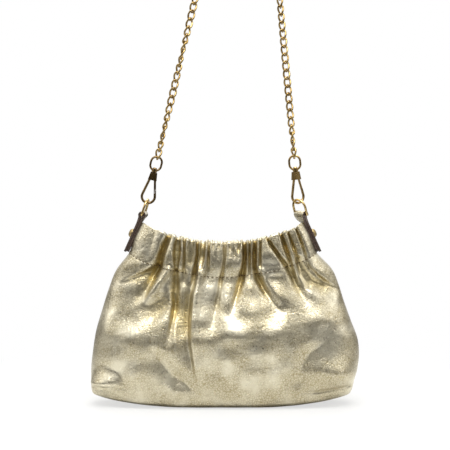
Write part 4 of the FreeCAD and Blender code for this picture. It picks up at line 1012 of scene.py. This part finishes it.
def tab_path(side):
    """The middle line of the folded strap, with its width direction at each point."""
    sign = -1 if side == "left" else 1
    joint = joint_of[side + "_ring"]
    bar = np.array(joint["pos_m"]) * 1000 - bag_origin * 1000
    bar_way = unit(np.array(joint["axis"]))
    bar_way = bar_way if bar_way[1] > 0 else -bar_way
    low, high = (np.array([sign * x, 0, z]) for x, z in (SIDE_LOW, SIDE_HIGH))
    up = unit(high - low)
    out = np.array([sign * up[2], 0, -sign * up[0]])
    layers = TAB_GAP + TAB_LAYER / 2, TAB_GAP + LAYER_GAP + TAB_LAYER * 1.5

    def on_side(h, away):
        """A point at a height, that far out from the bag's side."""
        foot = low + out * away
        return foot + up * ((h - foot[2]) / up[2])

    down = on_side(OUTER_TOP, sum(layers) / 2) - bar
    down = unit(down - bar_way * (down @ bar_way))
    outer = np.cross(bar_way, down)
    outer = outer if outer @ out > 0 else -outer
    radius = BAR_RADIUS + TAB_LAYER / 2
    rest = math.asin((layers[1] - layers[0]) / 2 / radius)
    y_way = np.array([0.0, 1.0, 0.0])
    path = [(on_side(h, layers[0]), y_way) for h in np.linspace(TAB_END, INNER_TOP, SIDE_STEPS)]
    for turn in np.linspace(rest, 2 * math.pi - rest, FOLD_STEPS):
        path.append((bar + radius * (math.cos(turn) * down - math.sin(turn) * outer), bar_way))
    path += [(on_side(h, layers[1]), y_way) for h in np.linspace(OUTER_TOP, TAB_END, SIDE_STEPS)]
    points, ways = (np.array(v) for v in zip(*path))
    for _ in range(SMOOTHING):
        points[1:-1] = (points[:-2] + 2 * points[1:-1] + points[2:]) / 4
        ways[1:-1] = (ways[:-2] + 2 * ways[1:-1] + ways[2:]) / 4
    return points, ways


strap_line = tab_path("left")[0]
print("a tab's strap is", round(np.linalg.norm(np.diff(strap_line, axis=0), axis=1).sum()), "mm long")

# %% Section of a tab
TAB_CORNER = 0.55
CORNER_ANGLES = np.array([0, 30, 60, 90])
straight = np.array([TAB_WIDTH, TAB_LAYER]) / 2 - TAB_CORNER
section = []
for sx, sy, first in ((1, 1, 0), (-1, 1, 90), (-1, -1, 180), (1, -1, 270)):
    for a in np.radians(first + CORNER_ANGLES):
        section.append(straight * (sx, sy) + TAB_CORNER * np.array([math.cos(a), math.sin(a)]))
section = np.array(section)
# A side of the section is a cut edge if its middle lies beyond the flat faces.
cut = np.abs(section[:, 0] + np.roll(section[:, 0], -1)) / 2 > straight[0]
print("cut edges:", int(cut.sum()), "of", len(section), "sides")

# %% Tabs
for side in ("left", "right"):
    points, ways = tab_path(side)
    along = np.gradient(points, axis=0)
    along /= np.linalg.norm(along, axis=1, keepdims=True)
    through = np.cross(along, ways)
    through /= np.linalg.norm(through, axis=1, keepdims=True)
    wide = np.cross(through, along)
    rings = points[:, None] + section[None, :, :1] * wide[:, None] + section[None, :, 1:] * through[:, None]
    tab = ring_mesh(side + "_strap_tab", rings, champagne, close_first=True, close_last=True)
    tab.data.materials.append(edge_paint)
    long_faces = len(section) * (len(rings) - 1)
    for k, polygon in enumerate(tab.data.polygons):
        polygon.material_index = int(k >= long_faces or cut[k % len(section)])
        polygon.use_smooth = k < long_faces
    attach(tab, "bag")
    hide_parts(side + "_tab")
    print(tab.name, len(tab.data.polygons), "faces")

# %% [markdown]
# ## Inside
# A cloth lining follows the leather, a stiff board keeps the base flat, and a slip pocket is sewn on the
# back wall. They show only through the mouth. The lining could be the pouch pushed inwards, but that
# crosses itself in the pleats, so all three are made from the skin's own rings, each further in.

# %% Lining and board
CLOTH = 0.5
LINING_INSET, LINING_FLOOR, LINING_TOP_GAP, LINING_ROWS = 2.5, 4.1, 1.0, 70
BOARD, BOARD_FLOOR, BOARD_REACH, BOARD_RINGS = 1.9, 1.7, 0.93, 12

lining_rings = sack_rows(LINING_INSET, LINING_FLOOR, LINING_TOP_GAP, LINING_ROWS)
lining = ring_mesh("lining_sack", lining_rings, lining_cloth, close_first=True)
thicken(lining, CLOTH)
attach(lining, "bag")
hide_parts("lining")

board_rings = [base_ring(share, BOARD_FLOOR) for share in np.linspace(BASE_INNER, BOARD_REACH, BOARD_RINGS)]
board = ring_mesh("stiff_board", board_rings, bag_board, close_first=True)
thicken(board, BOARD)
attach(board, "bag")
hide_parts("base_board")
print("lining:", len(lining.data.vertices), "points, board:", len(board.data.vertices), "points")

# %% Slip pocket
POCKET_LOW, POCKET_HIGH, POCKET_MIDDLE, POCKET_HALF = 42.0, 106.0, 74.0, 52.0
POCKET_INSET, POCKET_ROWS = 3.6, 40
middle_x = oval(np.full(COLUMNS, POCKET_MIDDLE))[0][:, 0]
back_columns = np.where((sine < 0) & (np.abs(middle_x) < POCKET_HALF))[0]
pocket_rows = np.array([skin_row(np.full(COLUMNS, z), POCKET_INSET)[back_columns]
                        for z in np.linspace(POCKET_LOW, POCKET_HIGH, POCKET_ROWS)])
index = np.arange(POCKET_ROWS * len(back_columns)).reshape(POCKET_ROWS, -1)
quads = np.stack([index[:-1, :-1], index[:-1, 1:], index[1:, 1:], index[1:, :-1]], -1).reshape(-1, 4)
pocket = add_object("slip_pocket_cloth", pocket_rows.reshape(-1, 3), quads.tolist(), lining_cloth)
thicken(pocket, CLOTH)
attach(pocket, "bag")
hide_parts("slip_pocket")
